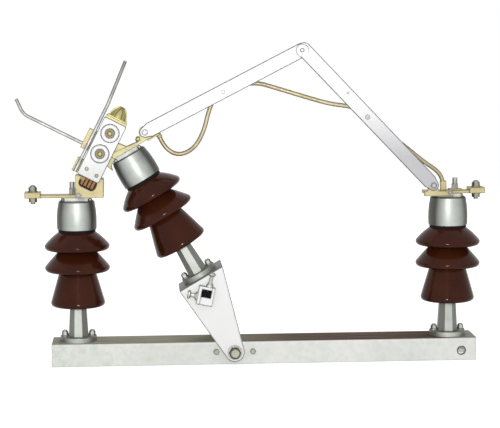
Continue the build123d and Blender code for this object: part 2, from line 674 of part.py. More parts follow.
# The long horn lies in a groove along the front of its holder
with BuildPart() as long_horn_holder:
    block_centre = -PLATE_WIDTH / 2 - LONG_HOLDER_WIDTH / 2
    block_along = LONG_HORN_FOOT + LONG_HOLDER_LENGTH / 2
    with BuildSketch(at_depth(JAW, 0)):
        with Locations((block_centre, block_along)):
            Rectangle(LONG_HOLDER_WIDTH, LONG_HOLDER_LENGTH)
    extrude(amount=-LONG_HORN_DEPTH)
    with BuildSketch(at_depth(JAW, SADDLE_WALL - PLATE_INNER)):
        with Locations((-PLATE_WIDTH / 2 + HOLDER_TAB / 2, block_along + LONG_HOLDER_LENGTH / 4)):
            Rectangle(HOLDER_TAB, LONG_HOLDER_LENGTH / 2)
    extrude(amount=SADDLE_WALL)
    with BuildSketch(level(JAW, LONG_HORN_FOOT, LONG_HORN_ACROSS)):
        with Locations((0, LONG_HORN_DEPTH)):
            Circle(HORN_DIAMETER / 2)
    extrude(amount=LONG_HOLDER_LENGTH, mode=Mode.SUBTRACT)
save(long_horn_holder, "long_horn_holder")

with BuildPart() as short_horn_holder:
    block_centre = -PLATE_WIDTH / 2 - SHORT_HOLDER_WIDTH / 2
    with BuildSketch(at_depth(JAW, PLATE_INNER)):
        with Locations((block_centre, SHORT_HOLDER_CENTRE)):
            Rectangle(SHORT_HOLDER_WIDTH, SHORT_HOLDER_LENGTH)
        with Locations((-PLATE_WIDTH / 2, SHORT_HOLDER_CENTRE)):
            Rectangle(2 * HOLDER_TAB, SHORT_HOLDER_LENGTH / 2)
    extrude(amount=SADDLE_WALL)
    with BuildSketch(at_depth(JAW, PLATE_INNER - SADDLE_WALL)):
        with Locations((block_centre, SHORT_HOLDER_CENTRE)):
            Rectangle(SHORT_HOLDER_WIDTH, SHORT_HOLDER_LENGTH)
    extrude(amount=SHORT_HOLDER_DEPTH)
    add(short_horn.part, mode=Mode.SUBTRACT)
save(short_horn_holder, "short_horn_holder")

# Rocker bracket: two tapering cheeks and the web that carries the rocking insulator
with BuildPart() as rocker_bracket:
    with BuildSketch(ROCKER):
        Circle(ROCKER_FOOT_RADIUS)
        with Locations((ROCKER_SHIFT, ROCKER_RISE - ROCKER_WALL / 2)):
            Rectangle(ROCKER_WIDTH, ROCKER_WALL)
        make_hull()
    extrude(amount=ROCKER_OUTER, both=True)
    for face in (rocker_bracket.faces().sort_by(Axis.Y)[0], rocker_bracket.faces().sort_by(Axis.Y)[-1]):
        top = face.edges().sort_by(Axis((0, 0, 0), ROCKER.y_dir))[-1]
        chamfer(face.edges().filter_by(lambda edge: edge.center() != top.center()), ROCKER_CHAMFER)
    folds = rocker_bracket.edges().filter_by(Axis((0, 0, 0), ROCKER.x_dir))
    fillet(folds.group_by(Axis((0, 0, 0), ROCKER.y_dir))[-1], ROCKER_BEND)
    with BuildSketch(ROCKER):
        with Locations((ROCKER_SHIFT, (ROCKER_RISE - ROCKER_WALL - ROCKER_FOOT_RADIUS - OVERRUN) / 2)):
            Rectangle(2 * ROCKER_WIDTH, ROCKER_RISE - ROCKER_WALL + ROCKER_FOOT_RADIUS + OVERRUN)
    extrude(amount=ROCKER_INNER, both=True, mode=Mode.SUBTRACT)
    with BuildSketch(ROCKER):
        Circle(SHAFT_DIAMETER / 2 + PIN_FIT)
    extrude(amount=ROCKER_OUTER + OVERRUN, both=True, mode=Mode.SUBTRACT)
save(rocker_bracket, "rocker_bracket")

# Strap on the rocking insulator, with the cheeks beside its blade and the ear that carries the left arm
ROCKING = SEATS["rocking"]
EAR_HEIGHT = STRAP_TOP + EAR_RISE
with BuildPart() as moving_strap:
    with BuildSketch(level(ROCKING, STRAP_BOTTOM)):
        with BuildLine():
            Polyline(
                (MOVING_STRAP_LEFT, -STRAP_WIDTH / 2),
                (MOVING_STRAP_RIGHT - MOVING_STRAP_TAPER, -STRAP_WIDTH / 2),
                (MOVING_STRAP_RIGHT, -MOVING_STRAP_END / 2),
                (MOVING_STRAP_RIGHT, MOVING_STRAP_END / 2),
                (MOVING_STRAP_RIGHT - MOVING_STRAP_TAPER, STRAP_WIDTH / 2),
                (MOVING_STRAP_LEFT, STRAP_WIDTH / 2),
                close=True,
            )
        make_face()
    extrude(amount=STRAP_THICKNESS)
    for back in (-BLADE_HALF_DEPTH - CHEEK_GAP, STRAP_WIDTH / 2):
        with BuildSketch(at_depth(ROCKING, back)):
            with BuildLine():
                Polyline(
                    (MOVING_STRAP_LEFT, STRAP_BOTTOM),
                    (MOVING_STRAP_LEFT, STRAP_TOP),
                    (CHEEK_END, STRAP_TOP),
                    (CHEEK_LEFT + CHEEK_BEVEL, STRAP_TOP + CHEEK_RISE),
                    (CHEEK_LEFT, STRAP_TOP + CHEEK_RISE - CHEEK_BEVEL),
                    (CHEEK_LEFT, STRAP_BOTTOM + CHEEK_BEVEL),
                    (CHEEK_LEFT + CHEEK_BEVEL, STRAP_BOTTOM),
                    close=True,
                )
            make_face()
        extrude(amount=STRAP_WIDTH / 2 - BLADE_HALF_DEPTH - CHEEK_GAP)
    with BuildSketch(at_depth(ROCKING, EAR_THICKNESS - STRAP_WIDTH / 2)):
        with Locations((EAR_ACROSS, EAR_HEIGHT)):
            Circle(EAR_RADIUS)
        with Locations((EAR_ACROSS, STRAP_TOP - STRAP_THICKNESS / 2)):
            Rectangle(EAR_WIDTH, STRAP_THICKNESS)
        make_hull()
        with Locations((EAR_ACROSS, EAR_HEIGHT)):
            Circle(ARM_PIN_DIAMETER / 2 + PIN_FIT, mode=Mode.SUBTRACT)
    extrude(amount=EAR_THICKNESS)
save(moving_strap, "moving_strap")

# Moving contact: a brass blade on the strap's left end that enters the jaw
with BuildPart() as moving_contact:
    with BuildSketch(at_depth(ROCKING, BLADE_HALF_DEPTH)) as blade:
        with BuildLine():
            Polyline(
                (BLADE_RIGHT, STRAP_TOP),
                (BLADE_PEAK_ACROSS, POST_HEIGHT + BLADE_PEAK_RISE),
                (BLADE_SHOULDER_ACROSS, POST_HEIGHT + BLADE_SHOULDER_RISE),
                (BLADE_NOSE_ACROSS, POST_HEIGHT + BLADE_NOSE_RISE),
                (BLADE_HEEL_ACROSS, POST_HEIGHT + BLADE_HEEL_RISE),
                (-CAP_SHOULDER_RADIUS - BLADE_CAP_GAP, POST_HEIGHT - CAP_SHOULDER_BEVEL),
                (-ADAPTOR_LENGTH / 2 - FIT_GAP, STRAP_BOTTOM + FIT_GAP),
                (MOVING_STRAP_LEFT - FIT_GAP, STRAP_BOTTOM + FIT_GAP),
                (MOVING_STRAP_LEFT - FIT_GAP, STRAP_TOP),
                close=True,
            )
        make_face()
    extrude(amount=2 * BLADE_HALF_DEPTH)
    for face in (moving_contact.faces().sort_by(Axis.Y)[0], moving_contact.faces().sort_by(Axis.Y)[-1]):
        chamfer(face.outer_wire().edges(), BLADE_CHAMFER)
save(moving_contact, "moving_contact")

# Pin points of the arms
EAR_PIN = ROCKING.origin + ROCKING.x_dir * EAR_ACROSS + ROCKING.y_dir * EAR_HEIGHT
APEX_HOLE_X = APEX_X + APEX_HOLE_SHIFT_X
APEX_HOLE_Z = APEX_Z + APEX_HOLE_SHIFT_Z


# Current arms: flat bars with a round end, and a narrower end round the pin that they start from
def make_arm(start, end, back, start_hole, end_hole):
    run = Vector(end) - Vector(start)
    neck = Vector(start) + run.normalized() * ARM_NECK
    with BuildPart() as arm:
        with BuildSketch(upright(back)):
            with Locations(start):
                Circle(ARM_END_RADIUS)
            with Locations(Location((neck.X, neck.Y, 0), (0, 0, degrees(atan2(run.Y, run.X))))):
                Rectangle(ARM_THICKNESS, ARM_WIDTH)
            with Locations(end):
                Circle(ARM_WIDTH / 2)
            make_hull()
            with Locations(start):
                Circle(start_hole / 2, mode=Mode.SUBTRACT)
            with Locations(end):
                Circle(end_hole / 2, mode=Mode.SUBTRACT)
        extrude(amount=ARM_THICKNESS)
        for face in (arm.faces().sort_by(Axis.Y)[0], arm.faces().sort_by(Axis.Y)[-1]):
            chamfer(face.outer_wire().edges(), min(ARM_CHAMFER, ARM_THICKNESS / 3))
    return arm


PIN_HOLE = ARM_PIN_DIAMETER + 2 * PIN_FIT
left_arm = make_arm((EAR_PIN.X, EAR_PIN.Z), (APEX_X, APEX_Z), LEFT_ARM_BACK, PIN_HOLE, PIN_HOLE)
save(left_arm, "left_arm")
right_arm = make_arm(
    (RIGHT_PIN_X, RIGHT_PIN_Z),
    (APEX_HOLE_X, APEX_HOLE_Z),
    RIGHT_ARM_BACK,
    PIN_HOLE,
    APEX_HOLE_DIAMETER,
)
save(right_arm, "right_arm")


# Pins: a shank with a head in front and one behind
def make_pin(x, z, front, back, head_diameter, head_height):
    with BuildPart() as pin:
        with BuildSketch(upright(back)):
            with Locations((x, z)):
                Circle(ARM_PIN_DIAMETER / 2)
        extrude(amount=back - front)
        with BuildSketch(upright(front)):
            with Locations((x, z)):
                Circle(head_diameter / 2)
        extrude(amount=head_height)
        with BuildSketch(upright(back + ARM_PIN_HEAD_HEIGHT)):
            with Locations((x, z)):
                Circle(ARM_PIN_HEAD / 2)
        extrude(amount=ARM_PIN_HEAD_HEIGHT)
    return pin


ear_pin = make_pin(
    EAR_PIN.X,
    EAR_PIN.Z,
    LEFT_ARM_FRONT - FIT_GAP,
    EAR_THICKNESS - STRAP_WIDTH / 2,
    ARM_PIN_HEAD,
    ARM_PIN_HEAD_HEIGHT,
)
save(ear_pin, "ear_pin")
apex_pin = make_pin(
    APEX_X,
    APEX_Z,
    RIGHT_ARM_FRONT - FIT_GAP,
    LEFT_ARM_BACK + FIT_GAP,
    APEX_HEAD_DIAMETER,
    APEX_HEAD_HEIGHT,
)
save(apex_pin, "apex_pin")
right_pin = make_pin(
    RIGHT_PIN_X,
    RIGHT_PIN_Z,
    RIGHT_ARM_FRONT - FIT_GAP,
    -STRAP_WIDTH / 2,
    ARM_PIN_HEAD,
    ARM_PIN_HEAD_HEIGHT,
)
save(right_pin, "right_pin")

# Lug on the right strap's front edge that carries the right arm
RIGHT_STRAP_END = POST_X - RIGHT_STRAP_TAIL
with BuildPart() as right_lug:
    with BuildSketch(upright(-STRAP_WIDTH / 2)):
        with Locations((RIGHT_PIN_X, RIGHT_PIN_Z)):
            Circle(LUG_RADIUS)
        with Locations((RIGHT_PIN_X, BASE_HEIGHT + STRAP_TOP - STRAP_THICKNESS / 2)):
            Rectangle(LUG_NECK_WIDTH, STRAP_THICKNESS)
        make_hull()
        with Locations((RIGHT_STRAP_END + LUG_LENGTH / 2, BASE_HEIGHT + STRAP_TOP - LUG_FOOT_HEIGHT / 2)):
            Rectangle(LUG_LENGTH, LUG_FOOT_HEIGHT)
        with Locations((RIGHT_PIN_X, RIGHT_PIN_Z)):
            Circle(ARM_PIN_DIAMETER / 2 + PIN_FIT, mode=Mode.SUBTRACT)
    extrude(amount=-RIGHT_ARM_BACK - FIT_GAP - STRAP_WIDTH / 2)
save(right_lug, "right_lug")

# Flexible conductor: routes chosen by hand, from the moving strap to the right strap
CABLE_LEFT_ROUTE = [
    (-187.0, -2.0, 411.0),
    (-178.0, -3.0, 389.0),
    (-152.0, -5.0, 374.0),
    (-123.0, -7.0, 388.0),
    (-106.0, -8.0, 420.0),
    (-95.0, -8.5, 455.0),
    (-72.0, -9.0, 484.0),
    (-44.0, -9.0, 494.0),
]
CABLE_MIDDLE_ROUTE = [
    (-44.0, -9.0, 494.0),
    (-16.0, -9.0, 504.0),
    (24.0, -10.5, 494.0),
    (72.0, -12.5, 479.0),
    (118.0, -14.0, 465.5),
    (157.0, -15.0, 457.0),
    (187.0, -15.0, 441.0),
]
CABLE_RIGHT_ROUTE = [
    (187.0, -15.0, 441.0),
    (217.0, -15.0, 425.0),
    (254.0, -14.0, 390.0),
    (290.0, -11.0, 362.0),
    (316.0, -7.0, 344.0),
    (326.0, -5.0, 325.0),
    (327.0, -4.0, 308.0),
]


def corner_radii(route):
    """The largest tangent arc that each corner's two runs allow."""
    radii = []
    for before, corner, after in zip(route, route[1:], route[2:]):
        arriving = Vector(corner) - Vector(before)
        leaving = Vector(after) - Vector(corner)
        half_turn = radians(arriving.get_angle(leaving)) / 2
        shorter = min(arriving.length, leaving.length)
        radii.append(CABLE_RUN_SHARE * shorter / tan(half_turn))
    return radii


def cable_share(cable, length):
    """The tube's volume as a share of its section times its length."""
    section = pi * CABLE_DIAMETER**2 / 4
    return round(cable.part.volume / (section * length), 4)


def make_cable(route):
    radii = corner_radii(route)
    print("cable corner radii", [round(radius, 1) for radius in radii])
    with BuildPart() as cable:
        with BuildLine() as path:
            FilletPolyline(*route, radius=radii)
        with BuildSketch(Plane(origin=path.line @ 0, z_dir=path.line % 0)):
            Circle(CABLE_DIAMETER / 2)
        sweep()
    length = sum(edge.length for edge in path.edges())
    print("cable length", round(length, 1), "volume share", cable_share(cable, length))
    return cable


save(make_cable(CABLE_LEFT_ROUTE), "cable_left")
save(make_cable(CABLE_MIDDLE_ROUTE), "cable_middle")
save(make_cable(CABLE_RIGHT_ROUTE), "cable_right")
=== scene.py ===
import math

import bmesh
import bpy
from mathutils import Matrix, Vector


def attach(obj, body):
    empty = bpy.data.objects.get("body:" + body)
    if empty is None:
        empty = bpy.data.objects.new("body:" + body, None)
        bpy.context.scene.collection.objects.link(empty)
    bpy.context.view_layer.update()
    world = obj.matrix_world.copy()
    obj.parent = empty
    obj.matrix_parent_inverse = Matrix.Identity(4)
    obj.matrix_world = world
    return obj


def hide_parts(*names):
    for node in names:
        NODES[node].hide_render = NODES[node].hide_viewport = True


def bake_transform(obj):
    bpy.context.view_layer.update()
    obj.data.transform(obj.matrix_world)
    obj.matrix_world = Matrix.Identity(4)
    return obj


# Looks of the disconnect switch: finishes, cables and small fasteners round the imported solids.
# Metres. X runs along the base, Y away from the front, Z up. A pair is an x and a z.
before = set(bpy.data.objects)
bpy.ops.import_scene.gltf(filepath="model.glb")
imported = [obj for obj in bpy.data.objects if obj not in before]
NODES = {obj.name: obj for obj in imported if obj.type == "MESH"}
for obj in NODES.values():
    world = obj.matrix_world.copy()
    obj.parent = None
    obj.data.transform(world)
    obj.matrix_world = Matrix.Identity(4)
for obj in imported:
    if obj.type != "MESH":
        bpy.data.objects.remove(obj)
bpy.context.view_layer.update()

# Camera of the photograph
CAMERA_PLACE = (-0.209, -3.0, 0.606)
CAMERA_YAW = math.radians(3.52)
CAMERA_PITCH = math.radians(-6.43)
CAMERA_ROLL = math.radians(-0.33)
CAMERA_LENS = 120.6
SENSOR_WIDTH = 36.0

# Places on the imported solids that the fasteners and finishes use
BASE_TOP = 0.0415
BASE_HALF_DEPTH = 0.0375
END_HOLE = (0.356, 0.018)
PIVOT = (-0.0558, 0.0232)
PIVOT_NUT_BACK = -0.0466
PIVOT_NUT_FRONT = -0.0558
POST_X = 0.336
ROCKING_SEAT = (-0.11581, 0.15714)
ROCKER_LEAN = math.radians(30.0)
BRACKET_FRONT = -0.047
JAW_BOLTS = ((-0.27393, 0.41662), (-0.29231, 0.38054))
JAW_FRONT = -0.0194
JAW_NUT_HEIGHT = 0.0085
EAR_PIN = (-0.2121, 0.4179)
APEX_PIN = (0.0685, 0.5614)
RIGHT_PIN = (0.3057, 0.3175)
RIGHT_ARM_DOWN = (0.69, -0.7235)

# Heights on a post, from its foot
FLANGE_TOP = 0.009
CAP_TOP = 0.254
STRAP_TOP = 0.2655
STUD_NUT_TOP = STRAP_TOP + 0.0112
PAD_BOTTOM = 0.26
PAD_TOP = 0.2705
BOLT_TOP = 0.2785

# Flexible conductor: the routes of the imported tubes, with points moved to follow the photograph.
# The stretches meet in the clamps behind the arms.
CABLE_DIAMETER = 0.008
CABLE_ROUTES = {
    "cable_left": [
        (-0.187, -0.002, 0.411),
        (-0.178, -0.003, 0.389),
        (-0.152, -0.005, 0.374),
        (-0.123, -0.007, 0.388),
        (-0.106, -0.008, 0.420),
        (-0.098, -0.0085, 0.455),
        (-0.084, -0.009, 0.486),
        (-0.044, -0.009, 0.4995),
    ],
    "cable_middle": [
        (-0.044, -0.009, 0.4995),
        (-0.016, -0.009, 0.506),
        (0.024, -0.0105, 0.494),
        (0.072, -0.0125, 0.479),
        (0.118, -0.014, 0.4655),
        (0.150, -0.015, 0.4615),
        (0.172, -0.015, 0.456),
        (0.1836, -0.015, 0.4438),
    ],
    "cable_right": [
        (0.187, -0.015, 0.441),
        (0.217, -0.015, 0.416),
        (0.254, -0.014, 0.3885),
        (0.290, -0.011, 0.359),
        (0.316, -0.007, 0.342),
        (0.326, -0.005, 0.325),
        (0.327, -0.004, 0.308),
    ],
}
ROUTE_STEPS = 10
ROUTE_ORDER = 3
STRAND_COUNT = 7
STRAND_STEPS = 4
STRAND_LAY = 0.042
STRAND_DEPTH = 0.0007

# Shading: the range that most of a noise lies in, how edges are found, and the mix node's colour sockets
NOISE_LOW = 0.3
NOISE_HIGH = 0.7
EDGE_SAMPLES = 6
EDGE_MATCH_LOW = 0.84
EDGE_MATCH_HIGH = 0.97
MIX_INPUTS = (6, 7)
MIX_OUTPUT = 2

# Widths over which the painted recess shade and edges fade, and shares of a finish
RECESS_SHADE_SIDE_FADE = 0.0003
RECESS_SHADE_LOW_FADE = 0.002
RECESS_SHADE_HIGH_FADE = 0.004
MERGE_FADE = 0.004
EDGE_SHADE_DARKENING = 0.6
STAIN_TONE = 0.6
STAIN_ROUGHNESS = 0.14

# Colours, in linear light
ZINC_DULL = (0.77, 0.79, 0.75)
ZINC_BRIGHT = (0.88, 0.88, 0.84)
ZINC_SPANGLE = (0.62, 0.67, 0.61)
ZINC_RUN = (0.62, 0.64, 0.58)
ZINC_BLOOM = (0.66, 0.75, 0.63)
ZINC_STAIN = (0.68, 0.65, 0.5)
ZINC_EDGE_SHADE = (0.09, 0.09, 0.07)
TOP_OLIVE = (0.37, 0.36, 0.28)
TOP_BROWN = (0.15, 0.115, 0.085)
TOP_RED_BROWN = (0.13, 0.085, 0.066)
TOP_GREY = (0.34, 0.33, 0.3)
TOP_DIRT = (0.07, 0.06, 0.045)
TOP_RUST = (0.045, 0.02, 0.014)
PAINT_DULL = (0.87, 0.88, 0.87)
PAINT_BRIGHT = (0.92, 0.92, 0.91)
PAINT_EDGE_SHADE = (0.13, 0.135, 0.13)
GLAZE_DEEP = (0.04, 0.009, 0.0035)
GLAZE_THIN = (0.064, 0.0145, 0.006)
GLAZE_SPECK = (0.026, 0.006, 0.003)
JOINT_DEEP = (0.004, 0.004, 0.004)
JOINT_HIGH = (0.012, 0.011, 0.01)
BRASS_SIDE_SHADE = (0.26, 0.21, 0.08)
BRASS_EDGE_SHADE = (0.09, 0.07, 0.025)
BRASS_RECESS_SHADE = (0.012, 0.009, 0.006)
BAR_DULL = (0.89, 0.89, 0.9)
BAR_BRIGHT = (0.93, 0.93, 0.935)
BAR_EDGE_SHADE = (0.13, 0.13, 0.135)
# Grey of the painted darker reflection low on the right arm
BAR_SHADE = (0.56, 0.56, 0.575)
JAW_SHADE = (0.74, 0.76, 0.74)
CLAMP_EDGE_SHADE = (0.05, 0.05, 0.045)
WASHER_EDGE_SHADE = (0.05, 0.05, 0.052)
PLATING_SCORCH = (0.11, 0.085, 0.06)
PLATING_SIDE_SHADE = (0.06, 0.06, 0.055)
PLATING_EDGE_SHADE = (0.05, 0.05, 0.045)
LEAF_BROWN = (0.1, 0.036, 0.012)
LEAF_BRIGHT = (0.28, 0.145, 0.045)
CABLE_BROWN = (0.32, 0.25, 0.13)
CABLE_GOLD = (0.5, 0.42, 0.25)
CABLE_BRIGHT = (0.68, 0.6, 0.41)
CABLE_SIDE_SHADE = (0.06, 0.042, 0.018)

# A nut that shows on a washer, from the painted shadow round it to its hole: radius, softness of the rim and
# colour
NUT_RINGS = (
    (0.0088, 0.0004, (0.09, 0.08, 0.05)),
    (0.0074, 0.0006, (0.26, 0.22, 0.09)),
    (0.0048, 0.0004, (0.08, 0.065, 0.03)),
)


# Shader helpers
class Finish:
    """One procedural material, with short calls for the nodes that the finishes share."""

    def __init__(self, name):
        self.material = bpy.data.materials.new(name)
        self.material.use_nodes = True
        self.tree = self.material.node_tree
        self.shader = self.tree.nodes["Principled BSDF"]
        coordinates = self.add("ShaderNodeTexCoord")
        self.place = coordinates.outputs["Object"]
        self.normal = coordinates.outputs["Normal"]

    def add(self, kind, **settings):
        node = self.tree.nodes.new(kind)
        for key, value in settings.items():
            setattr(node, key, value)
        return node

    def link(self, source, target):
        self.tree.links.new(source, target)

    def feed(self, node, values):
        """Set sockets by name or number, linking those that are given as outputs."""
        for key, value in values.items():
            if isinstance(value, bpy.types.NodeSocket):
                self.link(value, node.inputs[key])
            else:
                node.inputs[key].default_value = value

    def set(self, **values):
        """Set the shader's sockets by their names in small letters."""
        for key, value in values.items():
            socket = key.replace("_", " ").title().replace("Ior", "IOR")
            self.feed(self.shader, {socket: value})

    def stretched(self, scale):
        """Coordinates scaled by axis, for streaks."""
        node = self.add("ShaderNodeMapping")
        self.feed(node, {"Vector": self.place, "Scale": scale})
        return node.outputs["Vector"]

    def noise(self, scale, detail=4.0, roughness=0.55, source=None):
        node = self.add("ShaderNodeTexNoise")
        self.feed(
            node,
            {"Vector": source or self.place, "Scale": scale, "Detail": detail, "Roughness": roughness},
        )
        return node.outputs["Fac"]

    def cells(self, scale):
        node = self.add("ShaderNodeTexVoronoi")
        self.feed(node, {"Vector": self.place, "Scale": scale})
        return node.outputs["Color"]

    def ramp(self, factor, *stops):
        """Blend colours by a factor. Each stop is a position and a colour."""
        node = self.add("ShaderNodeValToRGB")
        elements = node.color_ramp.elements
        while len(elements) < len(stops):
            elements.new(0.5)
        for element, (position, colour) in zip(elements, stops):
            element.position = position
            element.color = (*colour, 1.0)
        self.link(factor, node.inputs["Fac"])
        return node.outputs["Color"]

    def clouded(self, noise, first, second, low=NOISE_LOW, high=NOISE_HIGH):
        """From one colour to another as a noise rises."""
        return self.ramp(noise, (low, first), (high, second))

    def band(self, factor, low, high, to_low=0.0, to_high=1.0):
        """Map a value from one range to another, held at the ends."""
        node = self.add("ShaderNodeMapRange", clamp=True)
        self.feed(
            node,
            {
                "Value": factor,
                "From Min": low,
                "From Max": high,
                "To Min": to_low,
                "To Max": to_high,
            },
        )
        return node.outputs["Result"]

    def fall(self, factor, low, high, top=1.0):
        """From a top value down to 0 as a value rises through a range."""
        return self.band(factor, low, high, top, 0.0)

    def math(self, operation, first, second=0.0):
        node = self.add("ShaderNodeMath", operation=operation)
        self.feed(node, {0: first, 1: second})
        return node.outputs["Value"]

    def mix(self, factor, first, second):
        """Mix two colours. A plain colour is three numbers."""
        node = self.add("ShaderNodeMix", data_type="RGBA")
        self.feed(node, {"Factor": factor})
        for number, colour in zip(MIX_INPUTS, (first, second)):
            if isinstance(colour, bpy.types.NodeSocket):
                self.link(colour, node.inputs[number])
            else:
                node.inputs[number].default_value = (*colour, 1.0)
        return node.outputs[MIX_OUTPUT]

    def axis(self, name, source=None):
        node = self.add("ShaderNodeSeparateXYZ")
        self.link(source or self.place, node.inputs[0])
        return node.outputs[name]

    def turned(self, low, high, top=1.0):
        """A top value where the surface turns away from front and back, and 0 where it faces them."""
        return self.fall(self.math("ABSOLUTE", self.axis("Y", self.normal)), low, high, top)

    def offset(self, name, start):
        """How far along an axis the surface lies from a start."""
        return self.math("SUBTRACT", self.axis(name), start)

    def near_line(self, point, radius, soft):
        """1 inside a radius round a line along Y through a pair, 0 outside."""
        across = self.offset("X", point[0])
        up = self.offset("Z", point[1])
        square = self.math("ADD", self.math("MULTIPLY", across, across), self.math("MULTIPLY", up, up))
        return self.fall(self.math("SQRT", square), radius - soft, radius + soft)

    def sharp_edge(self, radius):
        """1 beside sharp edges, falling to 0 within about a radius of them."""
        rounded = self.add("ShaderNodeBevel", samples=EDGE_SAMPLES)
        self.feed(rounded, {"Radius": radius})
        flat = self.add("ShaderNodeNewGeometry").outputs["Normal"]
        match = self.add("ShaderNodeVectorMath", operation="DOT_PRODUCT")
        self.feed(match, {0: rounded.outputs["Normal"], 1: flat})
        return self.fall(match.outputs["Value"], EDGE_MATCH_LOW, EDGE_MATCH_HIGH)

    def roughen(self, factor, first, second, low=NOISE_LOW, high=NOISE_HIGH):
        """Roughness that goes from one value to another as a factor rises."""
        self.set(roughness=self.band(factor, low, high, first, second))

    def bump(self, height, strength, distance):
        node = self.add("ShaderNodeBump")
        self.feed(node, {"Height": height, "Strength": strength, "Distance": distance})
        self.link(node.outputs["Normal"], self.shader.inputs["Normal"])


def galvanised():
    """Pale zinc with faint spangle and runs, and painted shade along its edges; faces that look up are a
    darker olive brown.
    """
    finish = Finish("galvanised_steel")
    along = finish.axis("X")
    cloud = finish.noise(9.0, detail=6.0)
    pale = finish.clouded(cloud, ZINC_DULL, ZINC_BRIGHT)
    spangle = finish.band(finish.axis("X", finish.cells(130.0)), 0.0, 1.0)
    pale = finish.mix(finish.band(spangle, 0.2, 0.9, to_high=0.26), pale, ZINC_SPANGLE)
    runs = finish.noise(5.0, detail=5.0, roughness=0.6, source=finish.stretched((9.0, 9.0, 1.4)))
    pale = finish.mix(finish.band(runs, 0.55, 0.75, to_high=0.35), pale, ZINC_RUN)
    rough_end = finish.fall(along, -0.4, -0.15)
    bloom = finish.band(finish.noise(75.0, detail=5.0, roughness=0.7), 0.5, 0.62)
    pale = finish.mix(finish.math("MULTIPLY", rough_end, bloom), pale, ZINC_BLOOM)
    stain = finish.band(finish.noise(48.0, detail=6.0, roughness=0.7), 0.54, 0.66)
    pale = finish.mix(finish.math("MULTIPLY", rough_end, stain), pale, ZINC_STAIN)

    brown = finish.ramp(along, (0.0, TOP_BROWN), (0.33, TOP_RED_BROWN), (0.37, TOP_GREY))
    olive = finish.mix(finish.band(along, -0.2, 0.05), TOP_OLIVE, brown)
    weather = finish.noise(14.0, detail=6.0, roughness=0.65, source=finish.stretched((0.5, 3.0, 3.0)))
    top = finish.mix(finish.band(weather, 0.4, 0.7, to_high=0.55), olive, TOP_DIRT)
    streaks = finish.noise(1.0, detail=3.0, roughness=0.6, source=finish.stretched((4.0, 130.0, 1.0)))
    rusty = finish.math("MULTIPLY", finish.band(along, -0.05, 0.12), finish.band(streaks, 0.46, 0.56))
    rusty = finish.math("MULTIPLY", rusty, finish.fall(along, 0.3, 0.34))
    top = finish.mix(rusty, top, TOP_RUST)

    # Faces that look up take the darker olive brown top colour
    upward = finish.band(finish.axis("Z", finish.normal), 0.55, 0.9)
    colour = finish.mix(upward, pale, top)
    # Painted shade: a dark line along every sharp edge of the zinc
    painted_edge_shade = finish.math("MULTIPLY", finish.sharp_edge(0.003), EDGE_SHADE_DARKENING)
    colour = finish.mix(painted_edge_shade, colour, ZINC_EDGE_SHADE)
    finish.set(base_color=colour, metallic=0.05, specular_ior_level=0.25)
    finish.roughen(finish.math("ADD", cloud, upward), 0.42, 0.9, low=0.3, high=1.4)
    finish.bump(finish.math("ADD", spangle, runs), strength=0.12, distance=0.0004)
    return finish.material


def bracket_paint():
    """Smooth pale plate of the rocker, with painted shade darkening its side faces and edges."""
    finish = Finish("bracket_plate")
    cloud = finish.noise(16.0, detail=5.0)
    grain = finish.noise(220.0, detail=2.0)
    pale = finish.clouded(cloud, PAINT_DULL, PAINT_BRIGHT)
    # Painted shade: faces that turn from the front and the sharp edges go dark
    edge = finish.math("MAXIMUM", finish.turned(0.6, 0.95), finish.sharp_edge(0.0045))
    finish.set(base_color=finish.mix(edge, pale, PAINT_EDGE_SHADE), metallic=0.05)
    finish.roughen(cloud, 0.38, 0.5)
    finish.bump(grain, strength=0.06, distance=0.0003)
    return finish.material


def glaze():
    """Chocolate brown glaze, deeper in the pools and thinner elsewhere, with fine specks."""
    finish = Finish("porcelain_glaze")
    pools = finish.noise(26.0, detail=5.0)
    specks = finish.noise(420.0, detail=2.0)
    brown = finish.clouded(pools, GLAZE_DEEP, GLAZE_THIN, high=0.75)
    brown = finish.mix(finish.band(specks, 0.62, 0.72, to_high=0.5), brown, GLAZE_SPECK)
    finish.set(base_color=brown, specular_ior_level=0.12)
    finish.roughen(pools, 0.1, 0.17)
    finish.bump(pools, strength=0.05, distance=0.0006)
    return finish.material


def joint_black():
    """Black sealing compound, uneven and matt."""
    finish = Finish("black_joint")
    lumps = finish.noise(150.0, detail=4.0)
    black = finish.clouded(lumps, JOINT_DEEP, JOINT_HIGH, high=0.8)
    finish.set(base_color=black, roughness=0.75, specular_ior_level=0.15)
    finish.bump(lumps, strength=0.4, distance=0.0015)
    return finish.material


def cast_grey(name, dark, light, side, roughness):
    """Satin grey casting with fine sand texture, with painted shade that darkens it to its side colour where
    it turns from the front.
    """
    finish = Finish(name)
    cloud = finish.noise(30.0, detail=5.0)
    sand = finish.noise(520.0, detail=3.0)
    grey = finish.clouded(cloud, dark, light)
    # Painted shade: the side colour darkens the faces that turn from the front
    grey = finish.mix(finish.turned(0.64, 0.995), grey, side)
    finish.set(base_color=grey, metallic=0.25, specular_ior_level=0.35)
    finish.roughen(cloud, roughness - 0.05, roughness + 0.07)
    finish.bump(sand, strength=0.14, distance=0.0004)
    return finish.material


